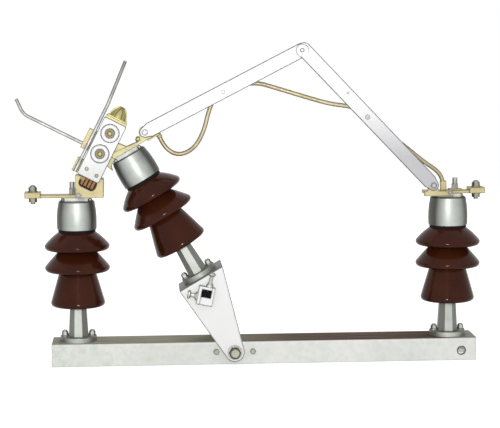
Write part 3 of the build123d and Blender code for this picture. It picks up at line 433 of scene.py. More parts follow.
def brass(name, dark, light, edge=0.0036, recess_shade=None):
    """Cast and dressed brass: creamy faces, painted shade on the faces that turn from the front and along
    edges of a width, fine file marks.
    The recess shade, a depth and two heights, is painted shade that blackens what is nearer the middle and
    between them."""
    finish = Finish(name)
    cloud = finish.noise(38.0, detail=6.0)
    marks = finish.noise(90.0, detail=3.0, roughness=0.6, source=finish.stretched((1.0, 4.0, 14.0)))
    gold = finish.clouded(cloud, dark, light, low=0.28, high=0.72)
    gold = finish.mix(finish.band(marks, 0.55, 0.8, to_high=0.3), gold, dark)
    # Painted shade: faces that turn from the front, and sharp edges, go dark
    gold = finish.mix(finish.turned(0.6, 0.95, top=0.6), gold, BRASS_SIDE_SHADE)
    gold = finish.mix(finish.sharp_edge(edge), gold, BRASS_EDGE_SHADE)
    # Painted shade: the recess inside the saddle goes black
    if recess_shade:
        depth, low, high = recess_shade
        inside = finish.fall(finish.math("ABSOLUTE", finish.axis("Y")), depth, depth + RECESS_SHADE_SIDE_FADE)
        above = finish.band(finish.axis("Z"), low - RECESS_SHADE_LOW_FADE, low)
        below = finish.fall(finish.axis("Z"), high, high + RECESS_SHADE_HIGH_FADE)
        black = finish.math("MULTIPLY", inside, finish.math("MULTIPLY", above, below))
        gold = finish.mix(black, gold, BRASS_RECESS_SHADE)
    finish.set(base_color=gold, metallic=0.2, specular_ior_level=0.3)
    finish.roughen(marks, 0.34, 0.5, high=0.75)
    finish.bump(marks, strength=0.1, distance=0.0003)
    return finish.material


def pale_bar(name, shade=None, nuts=(), line=0.0042, edge_shade_colour=BAR_EDGE_SHADE, merge=None):
    """Pale bare bar with a fine grain and painted shade on its side faces and along its edges, of a width
    and colour.
    shade is two heights and a colour that it takes from the first to the second, nuts are places that
    turn brass inside a painted shadow, and merge is a place and a direction beyond which the edge fades out."""
    finish = Finish(name)
    cloud = finish.noise(14.0, detail=4.0)
    grain = finish.noise(160.0, detail=3.0, roughness=0.6)
    pale = finish.clouded(cloud, BAR_DULL, BAR_BRIGHT)
    if shade:
        high, low, grey = shade
        pale = finish.mix(finish.band(finish.axis("Z"), high, low), pale, grey)
    # Painted shade: faces that turn from the front and the sharp edges take the edge colour
    edge = finish.math("MAXIMUM", finish.turned(0.75, 0.97), finish.sharp_edge(line))
    if merge:
        (x, z), (ahead, up) = merge
        across = finish.math("MULTIPLY", finish.offset("X", x), ahead)
        along = finish.math("MULTIPLY", finish.offset("Z", z), up)
        kept = finish.fall(finish.math("ADD", across, along), 0.0, MERGE_FADE)
        edge = finish.math("MULTIPLY", edge, kept)
    colour = finish.mix(edge, pale, edge_shade_colour)
    for place in nuts:
        for radius, soft, tone in NUT_RINGS:
            colour = finish.mix(finish.near_line(place, radius, soft), colour, tone)
    finish.set(base_color=colour, metallic=0.05)
    finish.roughen(grain, 0.36, 0.48)
    finish.bump(grain, strength=0.05, distance=0.0003)
    return finish.material


def plated(name, tone, roughness, side_shade, metallic, edge=0.001, scorch=None):
    """Plated steel rod or fastener, with soft stains and painted shade along its edges.
    The side shade sets how strongly painted shade darkens the faces that turn from the front, and scorch
    browns it from one height to another."""
    finish = Finish(name)
    stain = finish.noise(60.0, detail=4.0)
    fine = finish.noise(300.0, detail=2.0)
    dull = tuple(STAIN_TONE * value for value in tone)
    colour = finish.clouded(stain, dull, tone, high=0.65)
    if scorch:
        burnt = finish.band(finish.axis("Z"), *scorch, to_high=0.8)
        colour = finish.mix(burnt, colour, PLATING_SCORCH)
    # Painted shade: faces that turn from the front go dark, and sharp edges too
    if side_shade:
        colour = finish.mix(finish.turned(0.6, 0.94, top=side_shade), colour, PLATING_SIDE_SHADE)
    colour = finish.mix(finish.sharp_edge(edge), colour, PLATING_EDGE_SHADE)
    finish.set(base_color=colour, metallic=metallic, specular_ior_level=0.25)
    finish.roughen(stain, roughness + STAIN_ROUGHNESS, roughness)
    finish.bump(fine, strength=0.04, distance=0.0002)
    return finish.material


def copper_leaf():
    """Dull copper leaves with brown tarnish."""
    finish = Finish("copper_leaf")
    tarnish = finish.noise(120.0, detail=5.0)
    finish.set(base_color=finish.clouded(tarnish, LEAF_BROWN, LEAF_BRIGHT), metallic=0.7)
    finish.roughen(tarnish, 0.5, 0.3)
    finish.bump(tarnish, strength=0.2, distance=0.0004)
    return finish.material


def bare_cable():
    """Stranded copper, bright on the lay, with painted shade that browns it where it turns from the front.
    """
    finish = Finish("bare_cable")
    tarnish = finish.noise(34.0, detail=5.0)
    wires = finish.noise(900.0, detail=2.0)
    gold = finish.ramp(tarnish, (0.25, CABLE_BROWN), (0.5, CABLE_GOLD), (0.8, CABLE_BRIGHT))
    # Painted shade: the cable's sides, turned from the front, go brown
    gold = finish.mix(finish.turned(0.5, 0.93, top=0.95), gold, CABLE_SIDE_SHADE)
    finish.set(base_color=gold, metallic=0.3)
    finish.roughen(wires, 0.34, 0.48)
    finish.bump(wires, strength=0.25, distance=0.0003)
    return finish.material


# Shapes of the small fasteners
RING_STEPS = 24
DOME_STEPS = 6
HEXAGON = 6
MERGE_DISTANCE = 1e-7


def shown(name, mesh, material):
    """A mesh as an object of the scene."""
    piece = bpy.data.objects.new(name, mesh)
    bpy.context.collection.objects.link(piece)
    piece.data.materials.append(material)
    return piece


def mesh_piece(name, shape, material, body):
    """Turn a finished bmesh into a named piece that rides on a body."""
    bmesh.ops.remove_doubles(shape, verts=shape.verts, dist=MERGE_DISTANCE)
    bmesh.ops.recalc_face_normals(shape, faces=shape.faces)
    mesh = bpy.data.meshes.new(name)
    shape.to_mesh(mesh)
    shape.free()
    piece = shown(name, mesh, material)
    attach(piece, body)


def join_rings(shape, lower, upper):
    """Faces between two rings of the same number of points."""
    steps = len(lower)
    for step in range(steps):
        after = (step + 1) % steps
        shape.faces.new((lower[step], lower[after], upper[after], upper[step]))


def cap_ends(shape, rings):
    """Close a tube of rings at both ends."""
    shape.faces.new(list(reversed(rings[0])))
    shape.faces.new(rings[-1])


def polygon_reach(angle, sides):
    """How far a polygon of inner radius 1 reaches at an angle."""
    pitch = 2 * math.pi / sides
    return 1 / math.cos((angle + pitch / 2) % pitch - pitch / 2)


def lathe(shape, place, outline, steps=RING_STEPS, sides=None, close=True):
    """Add a turned solid, or one of some sides. The outline is radius and rise, from the foot to the top.
    With close off, the last ring joins the first one round a hole."""
    rings = []
    for radius, rise in outline:
        ring = []
        for step in range(steps):
            angle = 2 * math.pi * step / steps
            reach = radius if sides is None else radius * polygon_reach(angle, sides)
            point = Vector((reach * math.cos(angle), reach * math.sin(angle), rise))
            ring.append(shape.verts.new(place @ point))
        rings.append(ring)
    for lower, upper in zip(rings, rings[1:] if close else rings[1:] + rings[:1]):
        join_rings(shape, lower, upper)
    if close:
        cap_ends(shape, rings)


def standing(x, y, z, lean=0.0):
    """A place whose own Z points up, leaning to the left by an angle."""
    return Matrix.Translation((x, y, z)) @ Matrix.Rotation(-lean, 4, "Y")


def fronting(x, y, z):
    """A place whose own Z points out of the front."""
    return Matrix.Translation((x, y, z)) @ Matrix.Rotation(math.pi / 2, 4, "X")


def shifted(place, x, y, z):
    """A place moved along its own axes."""
    return place @ Matrix.Translation((x, y, z))


def hex_bolt(shape, place, across, height, stud_radius, stud_rise):
    """A washer, a chamfered hexagon and a stud end, in shares of the head's half width and height."""
    half = across / 2
    lathe(shape, place, [(1.25 * half, 0), (1.25 * half, 0.14 * height), (1.1 * half, 0.2 * height)])
    head = [(half, 0.16 * height), (half, 0.85 * height), (0.86 * half, height)]
    lathe(shape, place, head, HEXAGON, HEXAGON)
    stud = [
        (stud_radius, 0.8 * height),
        (stud_radius, height + 0.8 * stud_rise),
        (0.7 * stud_radius, height + stud_rise),
    ]
    lathe(shape, place, stud)


def rivet(shape, place, radius, rise):
    """A low domed head."""
    lathe(
        shape,
        place,
        [(radius, 0), (radius, 0.3 * rise), (0.8 * radius, 0.75 * rise), (0.4 * radius, rise)],
    )


def dome(shape, place, radius, rise):
    """A rounded cap of a nut."""
    turns = [math.pi / 2 * step / DOME_STEPS for step in range(DOME_STEPS)]
    lathe(shape, place, [(radius * math.cos(turn), rise * math.sin(turn)) for turn in turns])


def washer(shape, place, radius, height):
    """A flat disc with its upper edge broken."""
    lathe(shape, place, [(radius, 0), (radius, 0.7 * height), (0.93 * radius, height)])


def collar(shape, place, radius, width, height):
    """A flat ring."""
    inner = radius - width
    lathe(shape, place, [(inner, 0), (radius, 0), (radius, height), (inner, height)], close=False)


def thread(shape, place, radius, depth, pitch, turns):
    """Ridges round a stud's end, closed by a cone."""
    outline = []
    for turn in range(turns):
        outline += [(radius - depth, turn * pitch), (radius, (turn + 0.5) * pitch)]
    outline += [(radius - depth, turns * pitch), (0.6 * radius, (turns + 0.4) * pitch)]
    lathe(shape, place, outline)


def block(shape, place, size):
    """A box with its foot at the place's origin."""
    corners = bmesh.ops.create_cube(shape, size=1.0)["verts"]
    centre = Matrix.Translation((0, 0, size[2] / 2)) @ Matrix.Diagonal((*size, 1.0))
    bmesh.ops.transform(shape, matrix=place @ centre, verts=corners)


# The posts' own places and bodies
POSTS = {
    "left": (standing(-POST_X, 0, BASE_TOP), "base"),
    "right": (standing(POST_X, 0, BASE_TOP), "base"),
    "rocking": (standing(ROCKING_SEAT[0], 0, ROCKING_SEAT[1], ROCKER_LEAN), "rocker"),
}

# Bolts: width across the flats, height of the head, radius and rise of the stud's end
FLANGE_BOLT = (0.0115, 0.0085, 0.004, 0.002)
CAP_BOLT = (0.007, 0.0035, 0.002, 0.0015)
LEFT_STRAP_BOLT = (0.0085, 0.004, 0.002, 0.0012)
RIGHT_STRAP_BOLT = (0.007, 0.0036, 0.0018, 0.001)
MOVING_STRAP_BOLT = (0.011, 0.006, 0.003, 0.002)
POST_BOLT_X = 0.0245
LEFT_STRAP_BOLT_PLACE = (-0.3318, -0.0164, 0.3063)
RIGHT_STRAP_BOLT_PLACE = (0.3362, -0.0197, 0.3044)
MOVING_STRAP_BOLT_PLACE = (0.03, 0.003, STRAP_TOP)

# Terminals, on their posts: the x of the bolt and of the stud
TERMINALS = {"left": (-0.0775, -0.0073), "right": (0.051, 0.0125)}
TERMINAL_WASHER_RADIUS = 0.0088
TERMINAL_WASHER_HEIGHT = 0.0014
TERMINAL_DOME_RADIUS = 0.006
TERMINAL_DOME_RISE = 0.0042
STUD_RADIUS = 0.0047
THREAD_DEPTH = 0.0006
THREAD_PITCH = 0.0016
THREAD_TURNS = 6

# Plates on the straps: the right stud's, the cable's end on the right and the moving strap's end
STUD_PLATE = (0.023, 0.019, 0.0026)
CABLE_END_PLATE = (0.0105, 0.0092, 0.017)
CABLE_END_PLACE = (0.3268, -0.004, 0.307)
CABLE_END_LEAN = math.radians(3)
STRAP_END_PLATE = (0.013, 0.011, 0.007)
STRAP_END_X = 0.05

# Contact: rivets low on the jaw plate and the ends of its bolts
JAW_RIVETS = ((-0.3161, 0.354), (-0.2989, 0.3413))
JAW_RIVET_RADIUS = 0.0036
JAW_RIVET_RISE = 0.0014
JAW_BOLT_END_RADIUS = 0.0042
JAW_BOLT_END_RISE = 0.0016

# Arms: the front faces, the rivets with their places and radii, and the rims of the pins
LEFT_ARM_FRONT = -0.019
RIGHT_ARM_FRONT = -0.025
LEFT_ARM_RIVETS = (((-0.0726, 0.4887), 0.0036),)
RIGHT_ARM_RIVETS = (((0.1854, 0.4417), 0.0044), ((0.1503, 0.4851), 0.0022))
RIVET_RISE_SHARE = 0.35
EAR_PIN_FRONT = -0.0223
APEX_PIN_FRONT = -0.0278
RIGHT_PIN_FRONT = -0.0283
PIN_RIM_RADIUS = 0.0046
APEX_RIM_RADIUS = 0.0038
PIN_RIM_WIDTH = 0.0012
PIN_RIM_HEIGHT = 0.0006

# Lug of the cable, on the rocking post: a plate under the strap's end and a barrel
LUG_Y = -0.002
LUG_PLATE_X = 0.055
LUG_PLATE = (0.024, 0.012, 0.003)
LUG_BARREL_X = 0.0653
LUG_BARREL_LENGTH = 0.0095
LUG_BARREL = [(0.0043, 0), (0.0049, 0.0006), (0.0049, 0.0085), (0.0043, LUG_BARREL_LENGTH)]

# Saddle clamps behind the arms: a back and two legs, and the way the cable runs through each
SADDLE_LENGTH = 0.009
SADDLE_BACK_X = 0.0053
SADDLE_BACK = (0.0014, 0.0174, SADDLE_LENGTH)
SADDLE_LEG_X = 0.0005
SADDLE_LEG_Y = 0.008
SADDLE_LEG = (0.011, 0.0014, SADDLE_LENGTH)
LEFT_SADDLE_AHEAD = (0.942, 0.0, 0.336)
RIGHT_SADDLE_AHEAD = (0.882, 0.0, -0.471)

# Rod clamp on the bracket, in its own plane. Bars: x, y, width, height and depth
CLAMP_PLACE = (-0.1076, 0.1276)
CLAMP_TURN = math.radians(-12.0)
CLAMP_BARS = (
    (-0.0115, 0.0, 0.0060, 0.0335, 0.011),
    (0.0003, 0.0140, 0.0178, 0.0055, 0.011),
    (0.0119, 0.0, 0.0053, 0.0335, 0.0095),
    (0.0003, -0.0097, 0.0178, 0.0140, 0.0095),
)
# Black plate at the bottom of the socket, as painted shade in the hole
CLAMP_SOCKET_SHADE = (0.0003, 0.0043, 0.0178, 0.0141, 0.0006)
CLAMP_TOP_BOLT_FOOT = (0.0036, 0.0167, 0.0055)
CLAMP_TOP_BOLT_WIDEN = (1.3, 1, 1, 1)
CLAMP_TOP_BOLT = [
    (0.0054, 0),
    (0.005, 0.003),
    (0.0025, 0.009),
    (0.0025, 0.019),
    (0.005, 0.022),
    (0.0048, 0.0245),
    (0.0036, 0.0262),
]
CLAMP_SIDE_BOLT_FOOT = (-0.0145, -0.0032, 0.0055)
CLAMP_SIDE_BOLT_WIDEN = (1, 1.6, 1, 1)
CLAMP_SIDE_BOLT = [
    (0.0054, 0),
    (0.005, 0.0015),
    (0.0024, 0.006),
    (0.0024, 0.0115),
    (0.005, 0.014),
    (0.005, 0.016),
    (0.0038, 0.0176),
]

# Base: the pivot's washer and rim, and the rims of the end holes
PIVOT_WASHER_RADIUS = 0.0132
PIVOT_WASHER_HEIGHT = 0.0018
PIVOT_RIM_RADIUS = 0.0102
PIVOT_RIM_WIDTH = 0.0014
PIVOT_RIM_HEIGHT = 0.0008
END_RIM_RADIUS = 0.0083
END_RIM_WIDTH = 0.0013
END_RIM_HEIGHT = 0.0006


def add_post_fasteners(steel):
    """Bolts through each foot's flange and down into each cap."""
    for name, (place, body) in POSTS.items():
        bolts = bmesh.new()
        for x in (-POST_BOLT_X, POST_BOLT_X):
            hex_bolt(bolts, shifted(place, x, 0, FLANGE_TOP), *FLANGE_BOLT)
            hex_bolt(bolts, shifted(place, x, 0, CAP_TOP), *CAP_BOLT)
        mesh_piece(f"{name}_post_bolts", bolts, steel, body)


def add_terminal_fasteners(steel, metal):
    """Washers at the terminal bolts, threads on the studs, and the nuts and plates of the straps."""
    fittings = bmesh.new()
    for name, (bolt_x, stud_x) in TERMINALS.items():
        place = POSTS[name][0]
        for foot in (PAD_TOP, PAD_BOTTOM - TERMINAL_WASHER_HEIGHT):
            spot = shifted(place, bolt_x, 0, foot)
            washer(fittings, spot, TERMINAL_WASHER_RADIUS, TERMINAL_WASHER_HEIGHT)
        dome(fittings, shifted(place, bolt_x, 0, BOLT_TOP), TERMINAL_DOME_RADIUS, TERMINAL_DOME_RISE)
        stud = shifted(place, stud_x, 0, STUD_NUT_TOP)
        thread(fittings, stud, STUD_RADIUS, THREAD_DEPTH, THREAD_PITCH, THREAD_TURNS)
    hex_bolt(fittings, fronting(*LEFT_STRAP_BOLT_PLACE), *LEFT_STRAP_BOLT)
    hex_bolt(fittings, fronting(*RIGHT_STRAP_BOLT_PLACE), *RIGHT_STRAP_BOLT)
    mesh_piece("terminal_fittings", fittings, steel, "base")
    plates = bmesh.new()
    block(plates, shifted(POSTS["right"][0], TERMINALS["right"][1], 0, STRAP_TOP), STUD_PLATE)
    block(plates, standing(*CABLE_END_PLACE, CABLE_END_LEAN), CABLE_END_PLATE)
    mesh_piece("strap_plates", plates, metal, "base")
    clamp = bmesh.new()
    place, body = POSTS["rocking"]
    hex_bolt(clamp, shifted(place, *MOVING_STRAP_BOLT_PLACE), *MOVING_STRAP_BOLT)
    block(clamp, shifted(place, STRAP_END_X, 0, STRAP_TOP), STRAP_END_PLATE)
    mesh_piece("moving_strap_clamp", clamp, metal, body)


def add_contact_fasteners(steel, metal):
    """Rivets low on the front jaw plate and the bolts' ends in their nuts."""
    rivets = bmesh.new()
    for x, z in JAW_RIVETS:
        rivet(rivets, fronting(x, JAW_FRONT, z), JAW_RIVET_RADIUS, JAW_RIVET_RISE)
    mesh_piece("jaw_rivets", rivets, steel, "base")
    ends = bmesh.new()
    for x, z in JAW_BOLTS:
        rivet(ends, fronting(x, JAW_FRONT - JAW_NUT_HEIGHT, z), JAW_BOLT_END_RADIUS, JAW_BOLT_END_RISE)
    mesh_piece("jaw_bolt_ends", ends, metal, "base")


def add_arm_rivets(steel, dark):
    """Rivets in the arms and the turned-over rims of the pins' heads."""
    for name, body, front, spots in (
        ("left_arm_rivet", "left_lever", LEFT_ARM_FRONT, LEFT_ARM_RIVETS),
        ("right_arm_rivets", "right_lever", RIGHT_ARM_FRONT, RIGHT_ARM_RIVETS),
    ):
        rivets = bmesh.new()
        for (x, z), radius in spots:
            washer(rivets, fronting(x, front, z), radius, RIVET_RISE_SHARE * radius)
        mesh_piece(name, rivets, steel, body)
    for name, body, (x, z), front, radius, material in (
        ("ear_pin_rim", "rocker", EAR_PIN, EAR_PIN_FRONT, PIN_RIM_RADIUS, steel),
        ("apex_pin_rim", "apex", APEX_PIN, APEX_PIN_FRONT, APEX_RIM_RADIUS, dark),
        ("right_pin_rim", "base", RIGHT_PIN, RIGHT_PIN_FRONT, PIN_RIM_RADIUS, steel),
    ):
        rim = bmesh.new()
        collar(rim, fronting(x, front, z), radius, PIN_RIM_WIDTH, PIN_RIM_HEIGHT)
        mesh_piece(name, rim, material, body)


def add_cable_fittings(steel, metal):
    """The lug that holds the cable under the rocking strap's end, and the clamps behind the arms."""
    lug = bmesh.new()
    place, body = POSTS["rocking"]
    block(lug, shifted(place, LUG_PLATE_X, LUG_Y, PAD_BOTTOM - LUG_PLATE[2]), LUG_PLATE)
    lathe(lug, shifted(place, LUG_BARREL_X, LUG_Y, PAD_BOTTOM - LUG_BARREL_LENGTH), LUG_BARREL)
    mesh_piece("moving_strap_lug", lug, metal, body)
    for name, body, joint, ahead in (
        ("left_arm_clamp", "left_lever", CABLE_ROUTES["cable_middle"][0], LEFT_SADDLE_AHEAD),
        ("right_arm_clamp", "right_lever", CABLE_ROUTES["cable_right"][0], RIGHT_SADDLE_AHEAD),
    ):
        saddle = bmesh.new()
        turn = Vector(ahead).to_track_quat("Z", "Y").to_matrix().to_4x4()
        seat = shifted(Matrix.Translation(joint) @ turn, 0, 0, -SADDLE_LENGTH / 2)
        block(saddle, shifted(seat, SADDLE_BACK_X, 0, 0), SADDLE_BACK)
        for y in (-SADDLE_LEG_Y, SADDLE_LEG_Y):
            block(saddle, shifted(seat, SADDLE_LEG_X, y, 0), SADDLE_LEG)
        mesh_piece(name, saddle, steel, body)


def add_rod_clamp(plate, steel, black):
    """The clamp on the bracket's front: bars round the operating rod's square socket, a black plate of
    painted shade at the socket's bottom, and two bolts.
    """
    front = fronting(CLAMP_PLACE[0], BRACKET_FRONT, CLAMP_PLACE[1])
    place = front @ Matrix.Rotation(CLAMP_TURN, 4, "Z")
    bars = bmesh.new()
    for x, y, *size in CLAMP_BARS:
        block(bars, shifted(place, x, y, 0), size)
    mesh_piece("rod_clamp", bars, plate, "rocker")
    socket = bmesh.new()
    x, y, *size = CLAMP_SOCKET_SHADE
    block(socket, shifted(place, x, y, 0), size)
    mesh_piece("rod_clamp_socket_shade", socket, black, "rocker")
    bolts = bmesh.new()
    for foot, turn_axis, widen, outline in (
        (CLAMP_TOP_BOLT_FOOT, "X", CLAMP_TOP_BOLT_WIDEN, CLAMP_TOP_BOLT),
        (CLAMP_SIDE_BOLT_FOOT, "Y", CLAMP_SIDE_BOLT_WIDEN, CLAMP_SIDE_BOLT),
    ):
        laid = Matrix.Translation(foot) @ Matrix.Rotation(-math.pi / 2, 4, turn_axis)
        lathe(bolts, place @ laid @ Matrix.Diagonal(widen), outline)
    mesh_piece("rod_clamp_bolts", bolts, steel, "rocker")


def add_base_fasteners(steel, dark):
    """The washer and the turned rim at the pivot, and the rims of the end holes."""
    washers = bmesh.new()
    back = fronting(PIVOT[0], PIVOT_NUT_BACK, PIVOT[1])
    washer(washers, back, PIVOT_WASHER_RADIUS, PIVOT_WASHER_HEIGHT)
    mesh_piece("pivot_washers", washers, steel, "base")
    rims = bmesh.new()
    front = fronting(PIVOT[0], PIVOT_NUT_FRONT, PIVOT[1])
    collar(rims, front, PIVOT_RIM_RADIUS, PIVOT_RIM_WIDTH, PIVOT_RIM_HEIGHT)
    for side in (-1, 1):
        spot = fronting(END_HOLE[0], side * BASE_HALF_DEPTH, END_HOLE[1])
        collar(rims, spot, END_RIM_RADIUS, END_RIM_WIDTH, -side * END_RIM_HEIGHT)
    mesh_piece("base_rims", rims, dark, "base")


# Cables
def spline_points(name, route):
    """Points along a smooth line that has the route as its control points."""
    data = bpy.data.curves.new(f"{name}_line", "CURVE")
    data.dimensions = "3D"
    data.resolution_u = ROUTE_STEPS
    spline = data.splines.new("NURBS")
    spline.points.add(len(route) - 1)
    for point, place in zip(spline.points, route):
        point.co = (*place, 1.0)
    spline.order_u = ROUTE_ORDER
    spline.use_endpoint_u = True
    line = bpy.data.objects.new(f"{name}_line", data)
    bpy.context.collection.objects.link(line)
    mesh = bpy.data.meshes.new_from_object(line)
    points = [vertex.co.copy() for vertex in mesh.vertices]
    bpy.data.objects.remove(line)
    bpy.data.meshes.remove(mesh)
    return points


def cable_mesh(name, points):
    """A tube along the points whose surface winds into strands."""
    around = STRAND_STEPS * STRAND_COUNT
    shape = bmesh.new()
    rings = []
    side = Vector((0, 1, 0))
    run = 0.0
    for number, point in enumerate(points):
        before = points[max(number - 1, 0)]
        after = points[min(number + 1, len(points) - 1)]
        ahead = (after - before).normalized()
        side = (side - ahead * side.dot(ahead)).normalized()
        lift = ahead.cross(side)
        run += (point - before).length
        ring = []
        for step in range(around):
            angle = 2 * math.pi * step / around
            wave = abs(math.cos(STRAND_COUNT / 2 * (angle - 2 * math.pi * run / STRAND_LAY)))
            radius = CABLE_DIAMETER / 2 - STRAND_DEPTH * (1 - wave)
            outward = math.cos(angle) * side + math.sin(angle) * lift
            ring.append(shape.verts.new(point + radius * outward))
        rings.append(ring)
    for lower, upper in zip(rings, rings[1:]):
        join_rings(shape, lower, upper)
    cap_ends(shape, rings)
    bmesh.ops.recalc_face_normals(shape, faces=shape.faces)
    mesh = bpy.data.meshes.new(name)
    shape.to_mesh(mesh)
    shape.free()
    for face in mesh.polygons:
        face.use_smooth = True
    return mesh


def add_cables(material):
    """The three stretches, as strand-wound tubes along their routes, in place of the imported tubes, which
    are hidden.
    """
    for name, route in CABLE_ROUTES.items():
        points = spline_points(name, route)
        cable = shown(f"{name}_strands", cable_mesh(name, points), material)
        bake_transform(cable)
        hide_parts(name)


# Stage
WHITE = (1, 1, 1, 1)
FLOOR_SIZE = 30.0
FLOOR_ALBEDO = 0.5
FLOOR_ROUGHNESS = 0.9
FLOOR_GLOW = 0.78
FILL_STRENGTH = 0.46
KEY_PLACE = (-0.17, -2.95, 0.76)
KEY_SIZE = 0.3
KEY_POWER = 43.5
BACK_PLACE = (0.5, 2.6, 1.5)
BACK_SIZE = 1.5
BACK_POWER = 45.0
LAMP_AIM = (0.0, 0.0, 0.3)


def shown_directly(tree):
    """1 for rays that see the background: from the camera, in a reflection or through glass."""
    path = tree.nodes.new("ShaderNodeLightPath")
    total = path.outputs["Is Camera Ray"]
    for kind in ("Is Glossy Ray", "Is Transmission Ray"):
        join = tree.nodes.new("ShaderNodeMath")
        join.operation = "MAXIMUM"
        tree.links.new(total, join.inputs[0])
        tree.links.new(path.outputs[kind], join.inputs[1])
        total = join.outputs["Value"]
    return total


def set_world():
    """White surroundings, softer as a light than where they are seen."""
    world = bpy.data.worlds.new("studio")
    bpy.context.scene.world = world
    world.use_nodes = True
    tree = world.node_tree
    background = tree.nodes["Background"]
    background.inputs["Color"].default_value = WHITE
    strength = tree.nodes.new("ShaderNodeMapRange")
    strength.inputs["To Min"].default_value = FILL_STRENGTH
    strength.inputs["To Max"].default_value = 1.0
    tree.links.new(shown_directly(tree), strength.inputs["Value"])
    tree.links.new(strength.outputs["Result"], background.inputs["Strength"])


def floor_material():
    """Pale matt floor that glows where it is seen, so that it meets the background."""
    material = bpy.data.materials.new("floor")
    material.use_nodes = True
    tree = material.node_tree
    shader = tree.nodes["Principled BSDF"]
    shader.inputs["Base Color"].default_value = (FLOOR_ALBEDO, FLOOR_ALBEDO, FLOOR_ALBEDO, 1)
    shader.inputs["Roughness"].default_value = FLOOR_ROUGHNESS
    shader.inputs["Specular IOR Level"].default_value = 0.0
    shader.inputs["Emission Color"].default_value = WHITE
    glow = tree.nodes.new("ShaderNodeMath")
    glow.operation = "MULTIPLY"
    glow.inputs[1].default_value = FLOOR_GLOW
    tree.links.new(shown_directly(tree), glow.inputs[0])
    tree.links.new(glow.outputs["Value"], shader.inputs["Emission Strength"])
    return material


def add_floor():
    half = FLOOR_SIZE / 2
    shape = bmesh.new()
    corners = ((-half, -half), (half, -half), (half, half), (-half, half))
    shape.faces.new([shape.verts.new((x, y, 0)) for x, y in corners])
    mesh = bpy.data.meshes.new("floor")
    shape.to_mesh(mesh)
    shape.free()
    shown("floor", mesh, floor_material())


def add_lamp(name, place, size, power):
    """A round lamp that shines at the middle of the object."""
    lamp = bpy.data.lights.new(name, "AREA")
    lamp.shape = "DISK"
    lamp.size = size
    lamp.energy = power
    fitting = bpy.data.objects.new(name, lamp)
    fitting.location = place
    aim = Vector(LAMP_AIM) - Vector(place)
    fitting.rotation_euler = aim.to_track_quat("-Z", "Y").to_euler()
    bpy.context.collection.objects.link(fitting)
    return fitting


def add_camera():
    data = bpy.data.cameras.new("camera")
    data.sensor_fit = "HORIZONTAL"
    data.sensor_width = SENSOR_WIDTH
    data.lens = CAMERA_LENS
    camera = bpy.data.objects.new("camera", data)
    turn = Matrix.Rotation(-CAMERA_YAW, 4, "Z") @ Matrix.Rotation(math.pi / 2 + CAMERA_PITCH, 4, "X")
    camera.matrix_world = Matrix.Translation(CAMERA_PLACE) @ turn @ Matrix.Rotation(CAMERA_ROLL, 4, "Z")
    bpy.context.collection.objects.link(camera)
    bpy.context.scene.camera = camera
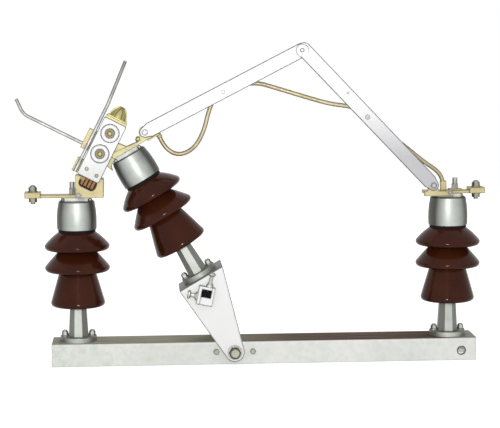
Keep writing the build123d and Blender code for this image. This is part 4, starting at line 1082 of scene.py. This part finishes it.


# Finishes of the imported nodes. A casting has a dark, a light and a side colour, the last a painted shade
# on its sides, a brass a dark and a light one, and a plating one tone.
# The right arm and its pin grey towards the bottom as a painted darker reflection
RIGHT_BAR_SHADE = (0.455, 0.37, BAR_SHADE)
JAW_PLATE_SHADE = (0.375, 0.345, JAW_SHADE)
SADDLE_RECESS_SHADE = (0.01345, 0.3105, 0.331)
HORN_SCORCH = (0.42, 0.56)
FINISHES = {
    "galvanised": galvanised(),
    "bracket": bracket_paint(),
    "glaze": glaze(),
    "joint": joint_black(),
    "cap": cast_grey("cap_iron", (0.5, 0.53, 0.5), (0.68, 0.71, 0.67), (0.085, 0.09, 0.078), roughness=0.4),
    "foot": cast_grey("foot_iron", (0.4, 0.42, 0.38), (0.6, 0.62, 0.58), (0.16, 0.165, 0.14), roughness=0.4),
    "adaptor": plated("adaptor_plate", (0.74, 0.74, 0.72), roughness=0.42, side_shade=0.6, metallic=0.2),
    "brass": brass("brass", (0.46, 0.39, 0.19), (0.66, 0.58, 0.33)),
    "saddle": brass("saddle_brass", (0.47, 0.4, 0.2), (0.66, 0.58, 0.33), recess_shade=SADDLE_RECESS_SHADE),
    "blade": brass("blade_brass", (0.42, 0.39, 0.2), (0.6, 0.56, 0.31)),
    "crown": brass("crown_brass", (0.46, 0.41, 0.15), (0.72, 0.66, 0.34), edge=0.0016),
    "left_arm": pale_bar("left_bar"),
    "right_arm": pale_bar("right_bar", RIGHT_BAR_SHADE),
    "clamp": pale_bar("clamp_plate", line=0.004, edge_shade_colour=CLAMP_EDGE_SHADE),
    "pin": pale_bar("pin_head"),
    "apex_pin": pale_bar("apex_pin_head", merge=(APEX_PIN, RIGHT_ARM_DOWN)),
    "right_pin": pale_bar("right_pin_head", RIGHT_BAR_SHADE),
    "plate": pale_bar("jaw_plate", JAW_PLATE_SHADE),
    "jaw_bolts": pale_bar("jaw_washer", nuts=JAW_BOLTS, line=0.0065, edge_shade_colour=WASHER_EDGE_SHADE),
    "horn": plated(
        "horn_steel", (0.88, 0.88, 0.86), roughness=0.36, side_shade=1.0, metallic=0.1, scorch=HORN_SCORCH
    ),
    "zinc": plated("bolt_zinc", (0.66, 0.66, 0.62), roughness=0.36, side_shade=0.8, metallic=0.3),
    "olive": plated("olive_zinc", (0.44, 0.41, 0.29), roughness=0.36, side_shade=0.85, metallic=0.3),
    "pivot": plated("pivot_zinc", (0.52, 0.51, 0.4), roughness=0.36, side_shade=0.85, metallic=0.2, edge=0.0034),
    "rivet": plated("rivet_zinc", (0.84, 0.84, 0.82), roughness=0.4, side_shade=0.9, metallic=0.1, edge=0.0015),
    "dark": plated("dark_ring", (0.07, 0.07, 0.06), roughness=0.5, side_shade=0.0, metallic=0.2),
    "copper": copper_leaf(),
    "cable": bare_cable(),
}
NODE_FINISHES = {
    "base_channel": "galvanised",
    "pivot_plates": "galvanised",
    "pivot_plate_bolts": "pivot",
    "pivot_shaft": "pivot",
    "rocker_bracket": "bracket",
    "left_strap": "brass",
    "right_strap": "brass",
    "left_terminal_bolt": "olive",
    "right_terminal_bolt": "olive",
    "moving_strap": "blade",
    "moving_contact": "blade",
    "contact_saddle": "saddle",
    "contact_leaves": "copper",
    "jaw_crown": "crown",
    "jaw_front_plate": "plate",
    "jaw_back_plate": "plate",
    "jaw_bolts": "jaw_bolts",
    "left_arm": "left_arm",
    "right_arm": "right_arm",
    "right_lug": "brass",
    "ear_pin": "pin",
    "right_pin": "right_pin",
    "apex_pin": "apex_pin",
    "long_horn": "horn",
    "short_horn": "horn",
    "long_horn_holder": "brass",
    "short_horn_holder": "brass",
}
for post in POSTS:
    NODE_FINISHES[f"{post}_foot"] = "foot"
    NODE_FINISHES[f"{post}_porcelain"] = "glaze"
    NODE_FINISHES[f"{post}_cement"] = "joint"
    NODE_FINISHES[f"{post}_cap"] = "cap"
    NODE_FINISHES[f"{post}_adaptor"] = "adaptor"
for name, node in NODES.items():
    node.data.materials.clear()
    node.data.materials.append(FINISHES[NODE_FINISHES.get(name, "zinc")])

add_camera()
set_world()
add_floor()
add_lamp("key", KEY_PLACE, KEY_SIZE, KEY_POWER)
add_lamp("back", BACK_PLACE, BACK_SIZE, BACK_POWER).visible_glossy = False
add_cables(FINISHES["cable"])
add_post_fasteners(FINISHES["zinc"])
add_terminal_fasteners(FINISHES["zinc"], FINISHES["brass"])
add_contact_fasteners(FINISHES["olive"], FINISHES["brass"])
add_arm_rivets(FINISHES["rivet"], FINISHES["dark"])
add_cable_fittings(FINISHES["zinc"], FINISHES["brass"])
add_rod_clamp(FINISHES["clamp"], FINISHES["zinc"], FINISHES["joint"])
add_base_fasteners(FINISHES["zinc"], FINISHES["dark"])

bpy.context.scene.view_settings.view_transform = "Standard"
